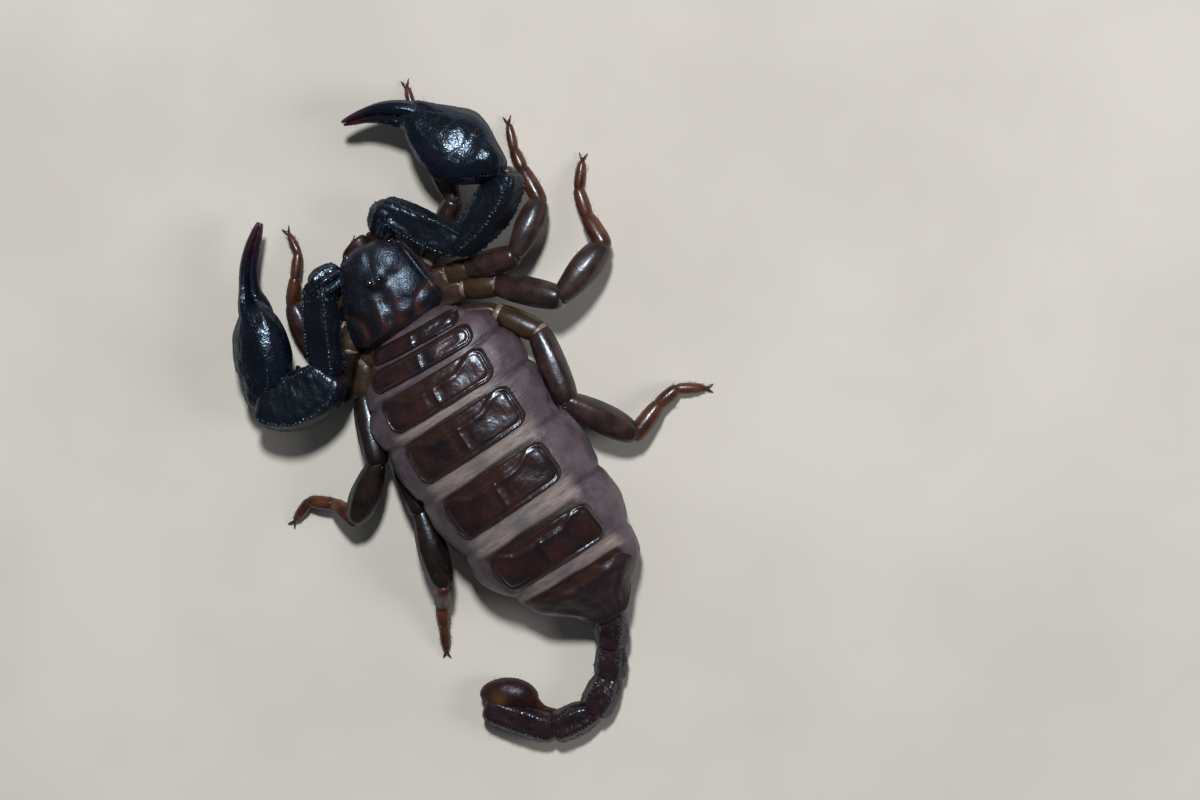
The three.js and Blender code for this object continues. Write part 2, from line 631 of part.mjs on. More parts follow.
function palpSolids(pose, side, grow = 0) {
  const swelling = ([width, height], root, belly) => (t) => {
    const share = mix(root, belly, Math.sin(Math.PI * Math.min(1, 0.12 + 0.62 * t)));
    return [width * share, height * share];
  };
  const hand = lofted(pose.chela, 0, HAND_END);
  const handRoll = radians(pose.handRoll);
  const handHalf = (t) => {
    const depth = mix(...pose.handDepth, smooth(t, 0.2, 0.75));
    const width = hand.breadthAt(t) / Math.hypot(Math.cos(handRoll), depth * Math.sin(handRoll));
    return [width, width * depth];
  };
  return {
    trochanter: form(stretched(pose.shoulder, pose.elbow, 0, 0.4), swelling(PALP.trochanter, 0.8, 1),
      { grow, sides: 8, rings: 5 }),
    femur: form(stretched(pose.elbow, pose.knee, 0.42, 0.3), swelling(PALP.femur, 0.66, 1),
      { grow, roll: radians(pose.upperRoll), blunt: 6, roundness: 3, sides: 8, rings: 6 }),
    patella: form(bowed(pose.knee, pose.wrist, 0.4, 0.2, pose.lowerBow), swelling(pose.lowerHalf, 0.56, 1),
      { grow, roll: radians(pose.lowerRoll), blunt: 6, roundness: 2.6, sides: 10, rings: 6 }),
    manus: form(hand.curve, handHalf,
      { grow, roll: handRoll, blunt: 5, roundness: 2.15, sides: 12, rings: 9 })
      .add(fingerForm(pose, side, -1, grow)),
    movableFinger: fingerForm(pose, side, 1, grow),
  };
}

// ---- Assembly: each neighbour is cut back by the grown form of the piece it meets ----

const bodyOrigin = [0, 0, 0];
const legUppersGrown = legs.map(({ grown }) => grown.upper);
const legPatellaeGrown = legs.map(({ grown }) => grown.patella);
const prosomaOrigin = inBody([0, 0, CARAPACE.edge]);
const sides = [
  { name: 'right', sign: -1 },
  { name: 'left', sign: 1 },
];

const carapaceGrown = carapaceForm(JOINT_GAP);
const cheliceraeGrown = sides.map(({ sign }) => cheliceraForm(sign, JOINT_GAP));
const palps = sides.map(({ name, sign }) => ({
  name,
  origin: PEDIPALPS[name].shoulder,
  own: palpSolids(PEDIPALPS[name], sign),
  grown: palpSolids(PEDIPALPS[name], sign, JOINT_GAP),
}));
const shouldersGrown = palps.map(({ grown }) => grown.trochanter);

const carapace = cut(carapaceForm(), [eyeForm(-1, PLATE_GAP), eyeForm(1, PLATE_GAP)]);
addPiece('carapace', carapace, 'shield', prosomaOrigin);
for (const { name, sign } of sides) {
  addPiece(`eye_median_${name}`, eyeForm(sign), 'eye', eyePlace(sign));
}

const chest = cut(chestForm(), [...legUppersGrown, ...shouldersGrown, ...cheliceraeGrown]);
addPiece('coxosternum', chest, 'leg', prosomaOrigin);

for (const { name, sign } of sides) {
  const other = sign > 0 ? [cheliceraForm(-1, JOINT_GAP)] : [];
  const chelicera = cut(cheliceraForm(sign), [carapaceGrown, ...shouldersGrown, ...other]);
  const root = inBody([sign * CHELICERA.x, CHELICERA.rear, CHELICERA.level]);
  addPiece(`chelicera_${name}`, chelicera, 'shield', root);
}

const tail = TAIL_HALVES.map((_, i) => ({ own: tailForm(i), grown: tailForm(i, JOINT_GAP) }));
const trunkNeighbours = [carapaceGrown, tail[0].grown, ...legUppersGrown, ...legPatellaeGrown];
const trunk = cut(trunkForm(), trunkNeighbours);
addPiece('mesosoma', trunk, 'membrane', bodyOrigin);

TERGITES.forEach((panel, i) => {
  const last = i === TERGITES.length - 1;
  const rearShare = last ? LAST_TERGITE_TAPER : 1;
  const column = panelColumn(panel, TERGITE_CORNER, rearShare, TRUNK_WIDEST_LEVEL, FAR / 6);
  const plate = cut(shell.intersect(column), [carapaceGrown, tail[0].grown]);
  addPiece(`tergite_${i + 1}`, plate, 'plate', [panel.x, panel.y, BELLY_LEVEL]);
});

STERNITES.forEach((panel, i) => {
  const column = panelColumn(panel, STERNITE_CORNER, 1, 0, TRUNK_WIDEST_LEVEL);
  const plate = cut(shell.intersect(column), [tail[0].grown]);
  addPiece(`sternite_${i + 3}`, plate, 'plate', [0, panel.y, 0]);
});

addPiece('pectines', pectinesForm(), 'foot', [0, PECTINES.y, PECTINES.level]);

tail.forEach(({ own }, i) => {
  const cutters = [floor];
  if (i > 0) cutters.push(tail[i - 1].grown);
  addPiece(`metasoma_${i + 1}`, cut(own, cutters), 'tail', TAIL_JOINTS[i]);
});
const telson = cut(telsonForm(), [floor, tail[4].grown, tail[3].grown]);
addPiece('telson', telson, 'sting', TELSON[0].slice(0, 3));

for (const { name, origin, own, grown } of palps) {
  const pose = PEDIPALPS[name];
  addPiece(`pedipalp_${name}_trochanter`, cut(own.trochanter, [carapaceGrown]), 'palp', origin);
  addPiece(`pedipalp_${name}_femur`, cut(own.femur, [grown.trochanter, carapaceGrown]), 'palp', pose.elbow);
  addPiece(`pedipalp_${name}_patella`, cut(own.patella, [grown.femur]), 'palp', pose.knee);
  const manus = cut(own.manus, [grown.patella, grown.movableFinger]);
  addPiece(`pedipalp_${name}_manus`, manus, 'palp', pose.wrist);
  addPiece(`pedipalp_${name}_finger`, own.movableFinger, 'palp', pose.chela[FINGER_ROOT].slice(0, 3));
}

const armsGrown = palps.flatMap(({ grown }) => [grown.femur, grown.patella, grown.manus]);
legs.forEach(({ name, own, grown }, i) => {
  const legsBefore = legs.slice(0, i).flatMap(({ grown: other }) => [other.upper, other.patella]);
  const others = [...armsGrown, ...legsBefore];
  const foot = cut(own.foot, [grown.patella, floor, ...others]);
  addPiece(`leg_${name}_femur`, cut(own.upper, [carapaceGrown, ...others]), 'leg', own.joints[0]);
  addPiece(`leg_${name}_patella`, cut(own.patella, [grown.upper, ...others]), 'leg', own.joints[2]);
  addPiece(`leg_${name}_foot`, foot, 'foot', own.joints[3]);
});

export default scorpion;
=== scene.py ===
"""A wood scorpion at rest, life size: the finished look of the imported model.

Every shape is worked out in millimetres, head to -Y, back to +Z and floor at z = 0, and is
brought to metres when its piece is made.
"""

import random
from collections import namedtuple
from math import acos, atan2, ceil, copysign, cos, exp, hypot, log, pi, radians, remainder, sin, sqrt, tau

import bmesh
import bpy
from mathutils import Matrix, Vector, noise


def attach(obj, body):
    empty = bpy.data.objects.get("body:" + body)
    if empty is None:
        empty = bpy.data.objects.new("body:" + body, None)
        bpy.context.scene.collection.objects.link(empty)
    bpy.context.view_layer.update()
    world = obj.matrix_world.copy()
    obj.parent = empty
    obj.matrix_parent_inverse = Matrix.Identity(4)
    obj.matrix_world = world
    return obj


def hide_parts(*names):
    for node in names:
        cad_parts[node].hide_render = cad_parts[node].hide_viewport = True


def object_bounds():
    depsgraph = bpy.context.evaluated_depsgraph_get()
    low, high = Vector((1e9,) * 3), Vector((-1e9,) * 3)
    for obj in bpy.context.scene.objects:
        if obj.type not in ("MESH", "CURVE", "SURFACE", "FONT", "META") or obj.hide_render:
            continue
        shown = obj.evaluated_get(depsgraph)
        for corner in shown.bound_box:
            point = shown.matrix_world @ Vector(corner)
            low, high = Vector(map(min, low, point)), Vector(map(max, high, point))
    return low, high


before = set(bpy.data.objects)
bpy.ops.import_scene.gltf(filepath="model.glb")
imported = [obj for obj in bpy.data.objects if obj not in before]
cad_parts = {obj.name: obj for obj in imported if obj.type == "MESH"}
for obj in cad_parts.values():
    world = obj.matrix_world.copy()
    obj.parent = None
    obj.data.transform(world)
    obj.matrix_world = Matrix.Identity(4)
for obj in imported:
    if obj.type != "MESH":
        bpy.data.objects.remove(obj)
CAD_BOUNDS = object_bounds()

MM = 0.001
BODY = "root"
UP = Vector((0, 0, 1))
dice = random.Random(7)


def mix(a, b, share):
    return a + (b - a) * share


def clamp(value, low=0.0, high=1.0):
    return max(low, min(high, value))


def ease(value, start, end):
    """0 before start, 1 after end, and smooth between them."""
    share = clamp((value - start) / (end - start))
    return share * share * (3 - 2 * share)


def hill(distance, width):
    """1 at distance 0, falling away over width."""
    return exp(-((distance / width) ** 2))


def squared(value, roundness):
    return copysign(abs(value) ** (2 / roundness), value)


def through(a, b, c, d, s):
    """The place at s between b and c on a smooth curve through all four."""
    return 0.5 * (2 * b + (c - a) * s + (2 * a - 5 * b + 4 * c - d) * s**2 + (3 * b - a - 3 * c + d) * s**3)


def rough(x, y, scale, layer):
    """Smooth random relief on a flat shape, between -1 and 1."""
    return noise.noise(Vector((x * scale, y * scale, layer)))


def grained(t, angle, around, along, shift=0.0):
    """The same round a form."""
    return noise.noise(Vector((cos(angle) * around, t * along, sin(angle) * around + shift)))


def keel(angle, degrees, width):
    """1 on the line at so many degrees round a form, falling away over width."""
    return hill(remainder(angle - radians(degrees), tau), width)


# ---- Sizes and pose, in millimetres and degrees ----

TRUNK_FRONT, TRUNK_REAR = -11.3, 11.4
TRUNK_RINGS = {
    "y": (-10.6, -8.9, -6.8, -3.5, 0.7, 5.0, 8.6, 11.2),
    "half": (3.9, 5.05, 5.7, 5.8, 5.7, 5.35, 3.92, 1.95),
    "top": (4.5, 5.1, 5.7, 6.1, 6.2, 5.9, 4.6, 3.2),
    "middle": (-0.4, -0.3, -0.1, -0.05, -0.05, -0.15, -0.6, -0.68),
}
TRUNK_WIDEST_LEVEL = 2.7
TRUNK_KEEL_LEVEL = -0.7
TRUNK_FOLD_DEPTH = 0.22
TRUNK_ROUNDNESS = 2.25
BELLY_LEVEL = 0.3
CHEST_LEVEL = 2.35
CHEST_REAR = -6.6
SKIN_INSET = 0.06
BACK_LEVEL, HEART_LEVEL = 2.8, 3.0
# How finely the largest surfaces are meshed, round or across them and along them.
SHIELD_MESH, SKIN_MESH = (220, 150), (200, 240)
TERGITE_MESH, STERNITE_MESH = (150, 56), (90, 44)

Plate = namedtuple("Plate", "x y across along turn")
TERGITES = [
    Plate(-0.45, -10.28, 6.5, 1.1, -5), Plate(-0.3, -8.98, 7.6, 1.45, -4),
    Plate(-0.2, -6.82, 7.8, 2.35, -2.5), Plate(-0.15, -3.6, 8.1, 2.9, -0.5),
    Plate(-0.1, 0.55, 7.9, 3.0, 0.5), Plate(-0.3, 5.1, 7.6, 2.85, -1.5), Plate(-0.4, 9.3, 7.9, 3.5, -3),
]
TERGITE_CORNER = 0.8
LAST_TERGITE_CORNER = 1.6
LAST_TERGITE_SPREAD = 0.95
TERGITE_THICKNESS = 0.3
STERNITES = [
    Plate(0, -4.5, 7.6, 2.9, 0), Plate(0, -1.2, 8.0, 3.1, 0), Plate(0, 2.3, 7.8, 3.3, 0),
    Plate(0, 5.9, 6.8, 3.3, 0), Plate(0, 8.85, 4.2, 1.8, 0),
]
STERNITE_CORNER = 0.7
STERNITE_THICKNESS = 0.16
FIRST_STERNITE, LAST_STERNITE = 3, 7

PROSOMA_PLACE = (0.1, -11.0, 0.0)
PROSOMA_TURN = -12
SHIELD_LENGTH = 5.95
SHIELD_HALF_REAR, SHIELD_HALF_FRONT = 3.5, 1.82
SHIELD_EDGE = 2.35
SHIELD_RISE = 2.0
EYE_MOUND_Y = -3.6
# How far out and back each lobe of the shield's two sides lies, its two widths and its height.
SHIELD_LOBES = [(1.75, -2.5, 0.9, 0.8, 0.17), (1.1, -1.05, 0.5, 0.5, 0.1), (2.75, -1.25, 0.7, 0.68, 0.13)]
CHEEK_OUT, CHEEK_Y, CHEEK_RADIUS = 2.95, -0.95, 1.15
MEDIAN_EYE = {"apart": 0.64, "radius": 0.24, "level": 4.3}
# Each side eye's place along the shield, its angle round it and its radius.
LATERAL_EYES = [(0.955, 30, 0.15), (0.925, 20, 0.12), (0.89, 17, 0.08)]
CHELICERA = {"x": 0.98, "rear": -4.3, "front": -6.42, "half": 0.98, "height": 0.62, "level": 2.1}
STERNUM = {"front": -4.3, "rear": 3.0, "halfFront": 1.4, "halfRear": 2.6, "half": 0.505, "level": 1.575}
COXA_HALF = 0.95
PECTINES = {"x": -0.1, "y": -8.5, "level": 0.42, "half": 0.25, "reach": 3.9, "sweep": 14, "teeth": 7}

LEG_LENGTHS = {
    1: (1.5, 3.2, 3.3, 1.6, 1.6, 1.4),
    2: (1.5, 3.4, 3.8, 2.3, 1.3, 1.7),
    3: (2.2, 4.3, 4.3, 2.1, 1.8, 1.8),
    4: (2.8, 4.6, 4.95, 2.4, 1.5, 1.8),
}
LEG_BULK = {1: 0.8, 2: 0.9, 3: 1.0, 4: 1.0}
ANKLE_LEVELS = (1.0, 0.6, 0.17)
# Each leg's pair, its hip, the levels of its next three joints and its segments' headings.
LEGS = {
    "right_1": (1, (-3.35, -13.7, 1.4), (1.0, 2.2, 0.9), (-153, -149, -97, -96, -99, -106)),
    "right_2": (2, (-4.1, -12.25, 1.75), (2.0, 3.0, 1.6), (165, 164, -147, -92, -96, -110)),
    "right_3": (3, (-4.55, -10.95, 1.75), (2.2, 3.3, 1.7), (155, 138, -163, -89, -104, -131)),
    "right_4": (4, (-5.35, -8.45, 1.75), (2.2, 3.2, 1.7), (125, 81, 114, -161, -173, 145)),
    "left_1": (1, (2.0, -14.9, 1.6), (1.35, 1.2, 1.0), (12, 32, -101, -131, -130, -94)),
    "left_2": (2, (2.85, -12.85, 1.75), (2.1, 1.6, 1.1), (48, 40, -30, -78, -115, -125)),
    "left_3": (3, (3.6, -10.55, 1.5), (1.6, 2.9, 2.2), (52, 70, 33, -60, -36, 19)),
    "left_4": (4, (3.85, -7.75, 1.3), (1.3, 2.5, 2.7), (64, 79, 72, 39, 57, 57)),
}
# Legs that get a darker copy of the leg finish, painted shade; the skin also covers their trochanters.
SHADE_PAINTED_LEGS = ("left_2", "left_3", "left_4")
# Half width and height, how far it runs past both joints, how thick both ends are for its
# middle, where it is thickest and how square its ends are.
LEG_SEGMENTS = {
    "trochanter": ((0.8, 0.82), (0.15, 0.2), (0.86, 0.9), 0.5, 6),
    "femur": ((0.9, 0.92), (0.28, 0.2), (0.82, 0.85), 0.5, 6),
    "patella": ((0.95, 0.95), (0.3, 0.1), (0.6, 0.72), 0.56, 5),
    "tibia": ((0.58, 0.6), (0.3, 0.12), (0.8, 0.76), 0.4, 6),
    "basitarsus": ((0.44, 0.45), (0.14, 0.08), (0.86, 0.8), 0.5, 6),
    "telotarsus": ((0.34, 0.34), (0.12, 0), (0.92, 0.7), 0.5, 4),
}
# The half width of each joint's skin, and how far it reaches to both sides.
LEG_HINGES = [(0.68, 0.36), (0.68, 0.28), (0.46, 0.26), (0.38, 0.2), (0.32, 0.14)]
LEG_CLAW = {"length": 0.8, "radius": 0.11, "spread": 30}

# chela: the middle and half breadth of the hand and closed fingers, from wrist to tips.
# rows: the hand's lines of grains, each from one (t, angle) to another.
# depth: the hand's height for its width, near the wrist and near the fingers.
PEDIPALPS = {
    "right": {
        "side": -1, "shoulder": (-2.1, -16.7, 2.1), "elbow": (-3.55, -17.75, 2.8),
        "knee": (-6.05, -13.55, 3.05), "wrist": (-11.3, -15.5, 3.1),
        "chela": [
            (-11.34, -15.75, 3.05, 0.85), (-10.94, -16.30, 3.07, 1.25), (-10.48, -17.00, 3.08, 1.68),
            (-10.04, -17.75, 3.06, 2.08), (-9.57, -18.61, 3.03, 2.31), (-9.10, -19.60, 2.98, 2.10),
            (-8.69, -20.61, 2.92, 1.63), (-8.31, -21.48, 2.84, 1.21), (-7.83, -22.03, 2.76, 0.96),
            (-7.15, -22.59, 2.66, 0.80), (-6.47, -23.01, 2.57, 0.64), (-5.70, -23.33, 2.48, 0.47),
            (-4.97, -23.53, 2.40, 0.36), (-4.20, -23.70, 2.33, 0.20),
        ],
        "rows": [((0.1, 0.75), (0.3, 0.75)), ((0.05, 2.6), (0.3, 2.7))],
        "depth": (1.85, 0.68), "handRoll": 26, "fingerRoll": 12, "upperRoll": 0, "lowerRoll": -34,
        "lowerHalf": (1.26, 1.2), "lowerBow": 1.0,
    },
    "left": {
        "side": 1, "shoulder": (1.4, -16.1, 2.1), "elbow": (3.0, -16.15, 2.9),
        "knee": (5.55, -11.4, 3.3), "wrist": (10.15, -12.35, 2.7),
        "chela": [
            (10.95, -12.0, 2.7, 0.5), (10.43, -12.55, 2.68, 0.95), (9.71, -13.11, 2.66, 1.42),
            (9.22, -13.58, 2.62, 1.72), (8.62, -14.47, 2.56, 1.86), (8.09, -15.56, 2.5, 1.72),
            (7.75, -16.29, 2.46, 1.48), (7.51, -16.92, 2.42, 1.19), (7.29, -17.53, 2.38, 0.86),
            (7.05, -18.14, 2.35, 0.6), (6.6, -18.95, 2.28, 0.49), (6.05, -19.68, 2.22, 0.46),
            (5.3, -20.42, 2.16, 0.4), (4.55, -21.02, 2.1, 0.3), (3.95, -21.48, 2.05, 0.16),
        ],
        "rows": [((0.2, 0.85), (0.5, 1.05)), ((0.5, 1.05), (0.95, 1.6)), ((0.12, 2.2), (0.6, 2.0))],
        "depth": (0.92, 0.8), "handRoll": -20, "fingerRoll": 38, "upperRoll": 24, "lowerRoll": 14,
        "lowerHalf": (1.93, 1.5), "lowerBow": -1.9,
    },
}
HAND_END = 8.3
FINGER_START = 5.6
# Where along a lofted form its depth has settled.
DEPTH_SETTLED = 0.42
PALP_TROCHANTER = (1.02, 0.98)
PALP_FEMUR = (1.08, 0.95)
PALP_HINGES = (0.5, 0.74, 0.46)
PALP_EDGES = (45, 135, -45, -135)

TAIL_JOINTS = [Vector(joint) for joint in (
    (-0.4, 11.0, 1.9), (0.95, 12.8, 1.25), (2.35, 14.5, 0.98),
    (4.55, 15.8, 0.95), (7.4, 15.35, 0.95), (10.2, 11.85, 0.96),
)]
TAIL_HALVES = [1.1, 1.04, 1.11, 1.08, 1.03]
TAIL_SQUARENESS = [2.0, 2.0, 2.0, 2.05, 2.5]
TAIL_HEIGHT = 0.92
# The middle and half breadth of the sting's bulb, then of its curved point.
TELSON = [
    (10.1, 11.05, 0.95, 0.5), (9.55, 11.25, 0.98, 0.8), (8.95, 11.6, 1.0, 0.98), (8.4, 11.97, 1.02, 1.04),
    (7.91, 12.43, 1.0, 1.0), (7.56, 12.95, 0.95, 0.84), (7.4, 13.4, 0.9, 0.56),
]
ACULEUS = [
    (7.5, 13.1, 0.9, 0.46), (7.38, 13.55, 0.86, 0.34), (7.2, 13.95, 0.8, 0.24), (6.9, 14.25, 0.74, 0.17),
    (6.55, 14.5, 0.66, 0.1),
]
PALE_SPOT = Vector((9.05, 11.85, 1.75))

# How many bristles, how long, where along, where round, how far they lean and how thick.
ALL_ROUND = (-pi, pi)
LEG_HAIRS = {
    "telotarsus": (34, 0.32, (0.1, 0.95), ALL_ROUND, 1.2, 0.014),
    "basitarsus": (24, 0.36, (0.1, 0.95), ALL_ROUND, 1.1, 0.014),
    "tibia": (12, 0.4, (0.15, 0.95), ALL_ROUND, 0.9, 0.014),
    "patella": (8, 0.4, (0.15, 0.9), ALL_ROUND, 0.7, 0.014),
    "femur": (6, 0.36, (0.15, 0.9), ALL_ROUND, 0.7, 0.014),
}
PALP_HAIRS = {
    "manus": (26, 0.4, (0.1, 0.9), ALL_ROUND, 0.9, 0.012),
    "fixed": (26, 0.3, (0.3, 0.95), ALL_ROUND, 0.6, 0.013),
    "moving": (26, 0.3, (0.3, 0.95), ALL_ROUND, 0.6, 0.013),
    "patella": (14, 0.5, (0.1, 0.9), ALL_ROUND, 0.3, 0.016),
    "femur": (10, 0.45, (0.1, 0.9), ALL_ROUND, 0.3, 0.016),
}
TAIL_HAIRS = (12, 0.4, (0.2, 0.9), (0, pi), 0.4, 0.016)
TELSON_HAIRS = (30, 0.35, (0.15, 0.95), (-0.5, 3.6), 0.4, 0.013)
BRISTLE_VERTS = 8
HAIR_MARGIN = 0.02
HAIR_PATCH = 0.0015

CAMERA_PLACE = Vector((-118.3587, -32.2633, 403.7299)) * MM
CAMERA_TARGET = Vector((-7.0756, -0.3534, 0.0)) * MM
CAMERA_RIGHT = Vector((-0.80510, 0.56606, -0.17718))
CAMERA_DOWN = Vector((0.53067, 0.82086, 0.21115))
CAMERA_BACK = Vector((-0.26496, -0.07598, 0.96126))
CAMERA_LENS = 201.6
CAMERA_SENSOR = 36
# Each lamp's way from the middle (right, down, back), its size, power and whether it glints.
LAMPS = {
    "key": ((-0.08, -0.42, 1.0), 0.06, 2.7, True),
    "side": ((0.9, 0.1, 0.75), 0.2, 0.9, False),
    "far": ((-0.9, 0.3, 0.5), 0.25, 0.04, False),
}
LAMP_DISTANCE = 0.5
WORLD_COLOUR, WORLD_STRENGTH = (0.9, 0.93, 1.0, 1), 0.07
FLOOR_HALF, FLOOR_DROP = 1.2, 0.00002


# ---- Materials ----

def linear(colour):
    """A colour from its hexadecimal screen value, in linear light."""
    parts = [((colour >> shift) & 255) / 255 for shift in (16, 8, 0)]
    return [p / 12.92 if p <= 0.04045 else ((p + 0.055) / 1.055) ** 2.4 for p in parts] + [1.0]


class Value:
    """A number that varies over a surface. Sums on it add Math nodes."""

    def __init__(self, finish, socket):
        self.finish = finish
        self.socket = socket

    def math(self, operation, *numbers, clamped=False):
        settings = {"operation": operation, "use_clamp": clamped}
        return self.finish.node("ShaderNodeMath", settings, dict(enumerate(numbers)))

    def __add__(self, other):
        return self.math("ADD", self, other)

    def __radd__(self, other):
        return self.math("ADD", other, self)

    def __mul__(self, other):
        return self.math("MULTIPLY", self, other)

    def __rmul__(self, other):
        return self.math("MULTIPLY", other, self)

    def clamped(self):
        return self.math("ADD", self, 0.0, clamped=True)

    def between(self, low, high):
        """0 below low, 1 above high."""
        return self.finish.node(
            "ShaderNodeMapRange", {"interpolation_type": "SMOOTHSTEP"},
            {"Value": self, "From Min": low, "From Max": high},
        )


class Finish:
    """A procedural material, its pattern in millimetres on the piece's own coordinates."""

    def __init__(self, name, **constants):
        self.material = bpy.data.materials.new(name)
        self.material.use_nodes = True
        self.tree = self.material.node_tree
        self.shader = self.tree.nodes["Principled BSDF"]
        for key, value in constants.items():
            socket = key.replace("_", " ").title().replace("Ior", "IOR")
            self.shader.inputs[socket].default_value = value
        where = self.node("ShaderNodeTexCoord", output="Object")
        self.place = self.node(
            "ShaderNodeVectorMath", {"operation": "SCALE"}, {"Vector": where, "Scale": 1 / MM}
        )

    def node(self, kind, settings=None, values=None, output=0):
        made = self.tree.nodes.new(kind)
        for setting, value in (settings or {}).items():
            setattr(made, setting, value)
        for socket, value in (values or {}).items():
            if isinstance(value, Value):
                self.tree.links.new(value.socket, made.inputs[socket])
            else:
                made.inputs[socket].default_value = value
        return Value(self, made.outputs[output])

    def noise(self, scale, detail=3.0, roughness=0.55, stretch=None, distortion=0.0):
        place = self.place
        if stretch:
            place = self.node("ShaderNodeVectorMath", {"operation": "MULTIPLY"}, {0: place, 1: stretch})
        return self.node("ShaderNodeTexNoise", None, {
            "Vector": place, "Scale": scale, "Detail": detail, "Roughness": roughness,
            "Distortion": distortion,
        })

    def cells(self, scale):
        return self.node(
            "ShaderNodeTexVoronoi", {"feature": "DISTANCE_TO_EDGE"}, {"Vector": self.place, "Scale": scale}
        )

    def attribute(self, name):
        return self.node("ShaderNodeAttribute", {"attribute_name": name}, output="Fac")

    def blend(self, share, first, second):
        """One colour passing into another."""
        first, second = (linear(part) if isinstance(part, int) else part for part in (first, second))
        return self.node("ShaderNodeMix", {"data_type": "RGBA"}, {0: share, 6: first, 7: second}, 2)

    def clouds(self, pattern, low, high, dark, light):
        return self.blend(self.noise(*pattern).between(low, high), dark, light)

    def grazing(self):
        """1 where the surface is seen edge on, 0 where it faces the eye."""
        facing = self.node("ShaderNodeLayerWeight", None, {"Blend": 0.5}, output="Facing")
        return facing.between(0.5, 0.85)

    def bump(self, height, strength, distance, under=None):
        values = {"Height": height, "Strength": strength, "Distance": distance * MM}
        if under:
            values["Normal"] = under
        return self.node("ShaderNodeBump", None, values)

    def wear(self, **inputs):
        for name, value in inputs.items():
            self.tree.links.new(value.socket, self.shader.inputs[name.replace("_", " ").title()])


def finish(name, ground, gloss, tints=(), bumps=(), tone_gloss=(), edge=0.0, **constants):
    """A material of clouded ground, tinted in turn by tones, with stacked bumps.

    ground is (noise, low, high, dark, light). A tint is (tone, strength, colour), where the tone
    is a name on the mesh or a noise between two levels, and the colour may be clouded too. A bump
    is (noise or size of cells, strength, depth). gloss is (least roughness, spread, noise), which
    changes with tones by tone_gloss and at grazing edges by edge.
    """
    made = Finish(name, **constants)
    colour = made.clouds(*ground)
    for tone, strength, tint in tints:
        share = made.attribute(tone) if isinstance(tone, str) else made.noise(*tone[0]).between(*tone[1:])
        if strength < 1:
            share = (strength * share).clamped()
        colour = made.blend(share, colour, tint if isinstance(tint, int) else made.clouds(*tint))
    least, spread, pattern = gloss
    roughness = least + spread * made.noise(*pattern)
    for tone, change in tone_gloss:
        roughness = roughness + change * made.attribute(tone)
    if edge:
        roughness = roughness + edge * made.grazing()
    made.wear(base_color=colour, roughness=roughness)
    normal = None
    for pattern, strength, depth in bumps:
        height = made.noise(*pattern) if isinstance(pattern, tuple) else made.cells(pattern)
        normal = made.bump(height, strength, depth, normal)
    if normal:
        made.wear(normal=normal)
    return made.material


def leg_finish(name, dark, light, least=0.2, level=0.6):
    return finish(
        name, ((1.0, 4.0), 0.3, 0.72, dark, light), (least, 0.18, (3.0,)), [("tip", 1, dark)],
        [((6.0, 4.0), 0.3, 0.03), ((1.8, 2.0), 0.25, 0.08)], edge=0.35,
        specular_ior_level=level, specular_tint=COOL, coat_weight=0.04, coat_roughness=0.12,
    )


def hinge_finish(name, dark, light):
    return finish(
        name, ((2.0,), 0.3, 0.7, dark, light), (0.3, 0.15, (3.0,)), bumps=[((6.0, 4.0), 0.4, 0.05)],
        specular_ior_level=0.7, coat_weight=0.1, coat_roughness=0.2,
    )


COOL = (0.68, 0.82, 1.0, 1.0)
BLUE = (0.57, 0.77, 1.0, 1.0)

PALE_BAND = ((2.2, 4.0, 0.55, (0.35, 1.6, 0.5), 0.4), 0.3, 0.7, 0x625856, 0x7E726F)
# Painted shade darkens the lower flanks and the folds of the flanks.
SKIN = finish(
    "skin", ((0.9, 4.0), 0.3, 0.72, 0x3D333B, 0x51454E), (0.36, 0.22, (0.9, 4.0)),
    [("low", 1, 0x241C1F), ("band", 1, PALE_BAND), ("heart", 0.75, 0x45454F), ("brown", 1, 0x1E100C),
     ("crease", 1, 0x251C22)],
    [((3.2, 5.0, 0.55, (0.6, 2.2, 0.6), 0.8), 0.45, 0.1), ((7.0,), 0.35, 0.03)],
    specular_ior_level=0.45, coat_weight=0.12, coat_roughness=0.35,
)
PLATE = finish(
    "back_plate", ((0.55, 4.0), 0.32, 0.7, 0x190E0E, 0x301914), (0.24, 0.14, (2.6, 4.0)),
    [(((2.6, 4.0), 0.45, 0.75), 0.5, 0x1C1011), ("rim", 1, 0x1F1718), ("front", 1, 0x2E1A12)],
    [((6.0,), 0.3, 0.03), ((1.4,), 0.5, 0.12)], [("dull", 0.16)],
    specular_ior_level=0.8, specular_tint=COOL, coat_weight=0.06, coat_roughness=0.1,
)
BELLY = finish(
    "belly_plate", ((0.6, 4.0), 0.3, 0.7, 0x3A2620, 0x59402F), (0.25, 0.2, (2.2,)),
    [("rim", 1, 0x2A1C18)], [((8.0, 4.0, 0.6), 0.25, 0.03)],
    specular_ior_level=0.5, coat_weight=0.2, coat_roughness=0.2,
)
# The shell's grains are painted lighter than the shell: a painted glint.
SHIELD = finish(
    "shield", ((0.5,), 0.35, 0.7, 0x0A090E, 0x16111A), (0.27, 0.2, (3.2, 4.0)),
    [("ruddy", 1, 0x3B1E12), ("rim", 1, 0x3A2E31), ("bead", 0.7, 0x22242E)],
    [((4.2, 5.0, 0.6, None, 0.5), 0.5, 0.06), (6.0, 0.4, 0.04)],
    edge=0.4, specular_ior_level=0.8, specular_tint=BLUE,
)
